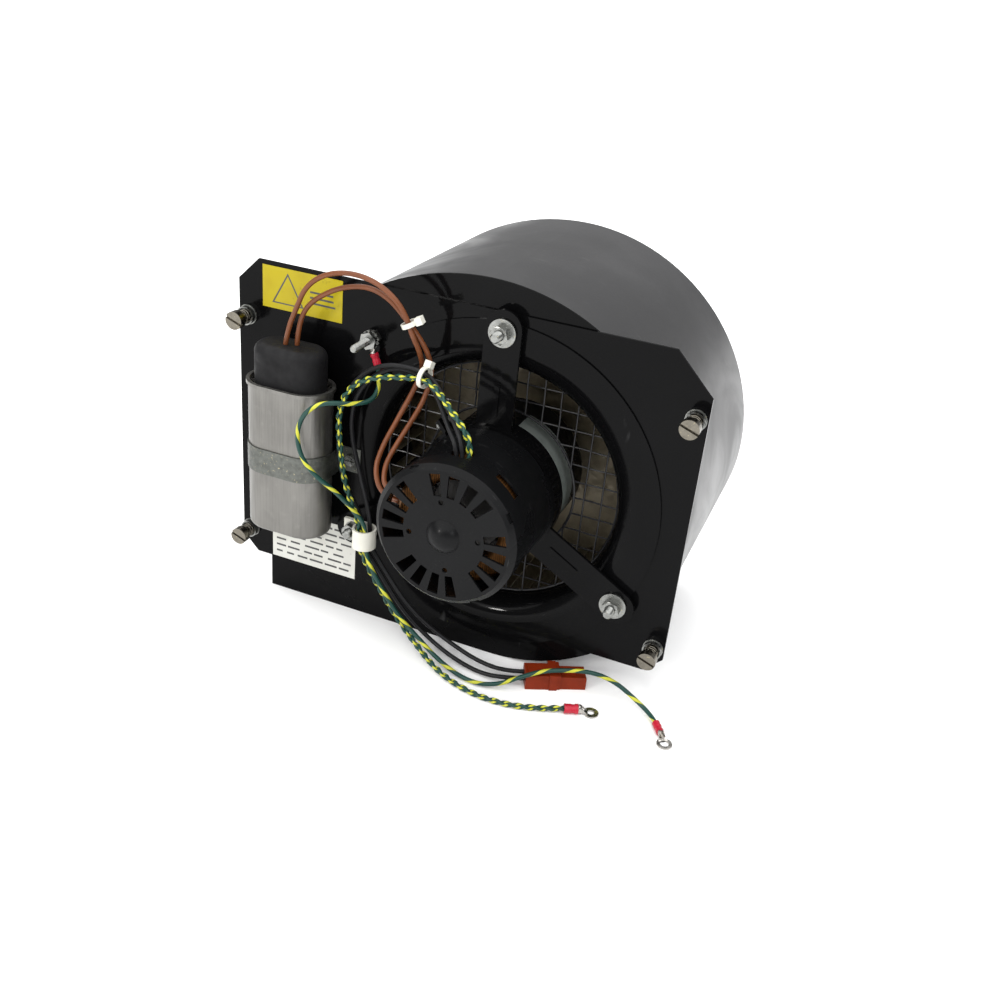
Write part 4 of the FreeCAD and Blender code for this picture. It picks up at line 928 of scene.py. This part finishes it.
def ring_terminal(name, stud, crimp, place, node):
    """A tinned ring terminal and its red sleeve, made along +X with the eye flat, then placed."""
    eye, start, thick = 0.0047, 0.0067, 0.0009
    rise = crimp + 0.0004
    outline = []
    for k in range(25):
        angle = math.radians(35 + 290 * k / 24)
        outline.append((eye * math.cos(angle), eye * math.sin(angle)))
    verts, faces = [], []
    sides = len(outline)
    for x, y in outline:
        bore_x, bore_y = x * stud / eye, y * stud / eye
        verts += [Vector((x, y, 0)), Vector((x, y, thick)), Vector((bore_x, bore_y, thick)),
                  Vector((bore_x, bore_y, 0))]
    for k in range(sides - 1):
        for i in range(4):
            j = (i + 1) % 4
            faces.append([k * 4 + i, (k + 1) * 4 + i, (k + 1) * 4 + j, k * 4 + j])
    base = len(verts)
    count = 13
    rows = []
    for k in range(9):
        t = k / 8
        x = eye * 0.42 + (start + 0.001 - eye * 0.42) * t
        half = eye * 0.62 * (1 - t) + crimp * t
        bend = t * t * (3 - 2 * t)
        row = []
        for m in range(count):
            s = m / (count - 1) * 2 - 1
            flat = Vector((x, half * s, 0.0))
            curl = math.pi * 0.86 * s
            rolled = Vector((x, crimp * math.sin(curl), rise - crimp * math.cos(curl)))
            row.append(flat.lerp(rolled, bend))
        rows.append(row)
    for row in rows:
        for p in row:
            verts.append(p)
        for p in row:
            verts.append(p + Vector((0, 0, thick)))
    for k in range(8):
        a, b = base + k * 2 * count, base + (k + 1) * 2 * count
        for m in range(count - 1):
            faces.append([a + m, a + m + 1, b + m + 1, b + m])
            faces.append([a + count + m + 1, a + count + m, b + count + m, b + count + m + 1])
        faces.append([a, b, b + count, a + count])
        faces.append([a + count - 1, a + 2 * count - 1, b + 2 * count - 1, b + count - 1])
    barrel = swept([Vector((start + d, 0, rise)) for d in (0.0, 0.002, 0.004, 0.006)], crimp, 16)
    verts, faces, _ = joined([(verts, faces, []), barrel])
    metal = new_piece(name + "_crimp", [place @ v for v in verts], faces, tinned_metal())
    profile = []
    for x, r in ((0.0012, 0.0), (0.0014, 0.0006), (0.003, 0.0006), (0.0038, 0.0002), (0.0052, 0.0002),
                 (0.006, 0.00055), (0.0085, 0.0004), (0.0098, 0.0006), (0.0099, 0.0)):
        profile.append((start + x, crimp + r))
    verts, faces = [], []
    around = 20
    for x, r in profile:
        for k in range(around):
            angle = 2 * math.pi * k / around
            verts.append(Vector((x, r * math.cos(angle), rise + r * math.sin(angle))))
    for i in range(len(profile) - 1):
        for k in range(around):
            m = (k + 1) % around
            faces.append([i * around + k, (i + 1) * around + k, (i + 1) * around + m, i * around + m])
    red = made("red", moulded, "red_vinyl", colours().red, 0.25, 0.45, 0.00003, 0.6)
    sleeve = new_piece(name + "_sleeve", [place @ v for v in verts], faces, red)
    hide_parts(node)


def on_floor(eye):
    """The place of a terminal that lies flat at that eye."""
    x, y, turn = eye
    return Matrix.Translation(about_axis(x, y, EYE_REST)) @ Matrix.Rotation(math.radians(turn), 4, "Z")


class BLOWER_OT_terminals(bpy.types.Operator):
    """Makes the three ring terminals and finishes the earth stud they belong to"""

    bl_idname = "blower.terminals"
    bl_label = "Earth stud and terminals"

    def execute(self, context):
        ring_terminal("earth", 0.0026, 0.0019, on_floor(EARTH_EYE), "earth_terminal")
        ring_terminal("pair", 0.0021, 0.0025, on_floor(PAIR_EYE), "pair_terminal")
        x, y, z = GROUND_EYE
        turn = Matrix.Rotation(math.radians(-GROUND_TURN), 4, "Y") @ Matrix.Rotation(math.radians(90), 4, "X")
        upright = Matrix.Translation(about_axis(x, y, z)) @ turn
        ring_terminal("ground", 0.0024, 0.0019, upright, "ground_terminal")
        coat_node("ground_hardware", zinc_plate())
        centre = middle("ground_stud")
        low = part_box("ground_stud")[0]
        root, radius, pitch = 0.0012, 0.0024, sizes().thread_pitch * 0.8
        rod = threaded_rod(centre, radius, low[1], root, pitch)
        stud = new_piece("ground_stud_thread", *rod[:2], zinc_plate())
        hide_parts("ground_stud")
        return {"FINISHED"}


class BLOWER_OT_connector(bpy.types.Operator):
    """Finishes both halves of the plug connector"""

    bl_idname = "blower.connector"
    bl_label = "Connector"

    def execute(self, context):
        red = made("plug", moulded, "moulded_connector", colours().plug, 0.35, 0.55, 0.00004, 0.45,
                   specular=0.15)
        for node in ("connector_socket", "connector_plug"):
            coat_node(node, red)
        return {"FINISHED"}


class BLOWER_OT_stage(bpy.types.Operator):
    """Sets the floor, the lights and the camera"""

    bl_idname = "blower.stage"
    bl_label = "Stage"

    def execute(self, context):
        scene = context.scene
        mesh = bpy.data.meshes.new("floor")
        reach = 30.0
        mesh.from_pydata([(-reach, -reach, FLOOR), (reach, -reach, FLOOR), (reach, reach, FLOOR),
                          (-reach, reach, FLOOR)], [], [[0, 1, 2, 3]])
        paint = Finish("floor_paper", (0.97, 0.97, 0.97), 0.6, specular=0.1)
        paint.gloss(paint.noise(2, 2), 0.3, 0.7, 0.55, 0.65)
        mesh.materials.append(paint.material)
        floor = bpy.data.objects.new("floor", mesh)
        scene.collection.objects.link(floor)
        scene.view_settings.view_transform = "Standard"
        scene.view_settings.look = "None"
        scene.view_settings.exposure = 0.0
        world = bpy.data.worlds.new("studio")
        world.use_nodes = True
        world.node_tree.nodes["Background"].inputs["Color"].default_value = (1.0, 1.0, 1.0, 1.0)
        world.node_tree.nodes["Background"].inputs["Strength"].default_value = 0.38
        scene.world = world
        sky = bpy.data.lights.new("sky", "SUN")
        sky.energy = 5.0
        sky.angle = math.radians(110)
        overhead = bpy.data.objects.new("sky", sky)
        overhead.rotation_euler = Vector((0.10, 0.16, -0.98)).to_track_quat("-Z", "Y").to_euler()
        scene.collection.objects.link(overhead)
        for name, place, power, width, tint in (
                ("key", (-0.55, -1.2, 0.45), 5, 0.12, (1.0, 0.98, 0.95)),
                ("fill", (1.0, -1.0, 0.5), 2.5, 0.3, (0.95, 0.97, 1.0))):
            data = bpy.data.lights.new(name, "AREA")
            data.energy = power
            data.size = width
            data.color = tint
            lamp = bpy.data.objects.new(name, data)
            lamp.location = place
            lamp.rotation_euler = (AXIS - Vector(place)).to_track_quat("-Z", "Y").to_euler()
            scene.collection.objects.link(lamp)
        data = bpy.data.cameras.new("camera")
        data.sensor_width = 36.0
        data.lens = 39.38
        camera = bpy.data.objects.new("camera", data)
        place = Vector((0.23004, -0.54533, 0.29859))
        target = Vector((0.03374, 0.0, -0.00528))
        roll = Matrix.Rotation(math.radians(5.83), 3, "Z")
        turn = (target - place).to_track_quat("-Z", "Y").to_matrix() @ roll
        camera.matrix_world = Matrix.Translation(place) @ turn.to_4x4()
        scene.collection.objects.link(camera)
        scene.camera = camera
        return {"FINISHED"}


class BLOWER_PT_parts(bpy.types.Panel):
    """The blower's pieces, in the order they are made"""

    bl_label = "Centrifugal blower"
    bl_idname = "BLOWER_PT_parts"
    bl_space_type = "VIEW_3D"
    bl_region_type = "UI"
    bl_category = "Blower"

    def draw(self, context):
        for operator in OPERATORS:
            self.layout.operator(operator.bl_idname)
        for group in (context.scene.blower_sizes, context.scene.blower_colours):
            box = self.layout.box()
            for name in group.__annotations__:
                box.prop(group, name)


OPERATORS = (
    BLOWER_OT_stage, BLOWER_OT_terminals, BLOWER_OT_leads, BLOWER_OT_housing, BLOWER_OT_guard,
    BLOWER_OT_bracket, BLOWER_OT_motor, BLOWER_OT_wheel, BLOWER_OT_screws, BLOWER_OT_capacitor,
    BLOWER_OT_labels, BLOWER_OT_connector,
)
CLASSES = (BLOWER_PG_sizes, BLOWER_PG_colours, *OPERATORS, BLOWER_PT_parts)


def register():
    for cls in CLASSES:
        bpy.utils.register_class(cls)
    bpy.types.Scene.blower_sizes = bpy.props.PointerProperty(type=BLOWER_PG_sizes)
    bpy.types.Scene.blower_colours = bpy.props.PointerProperty(type=BLOWER_PG_colours)


def unregister():
    del bpy.types.Scene.blower_colours
    del bpy.types.Scene.blower_sizes
    for cls in reversed(CLASSES):
        bpy.utils.unregister_class(cls)


def main():
    register()
    for operator in OPERATORS:
        group, name = operator.bl_idname.split(".")
        getattr(getattr(bpy.ops, group), name)()


if __name__ == "__main__":
    main()
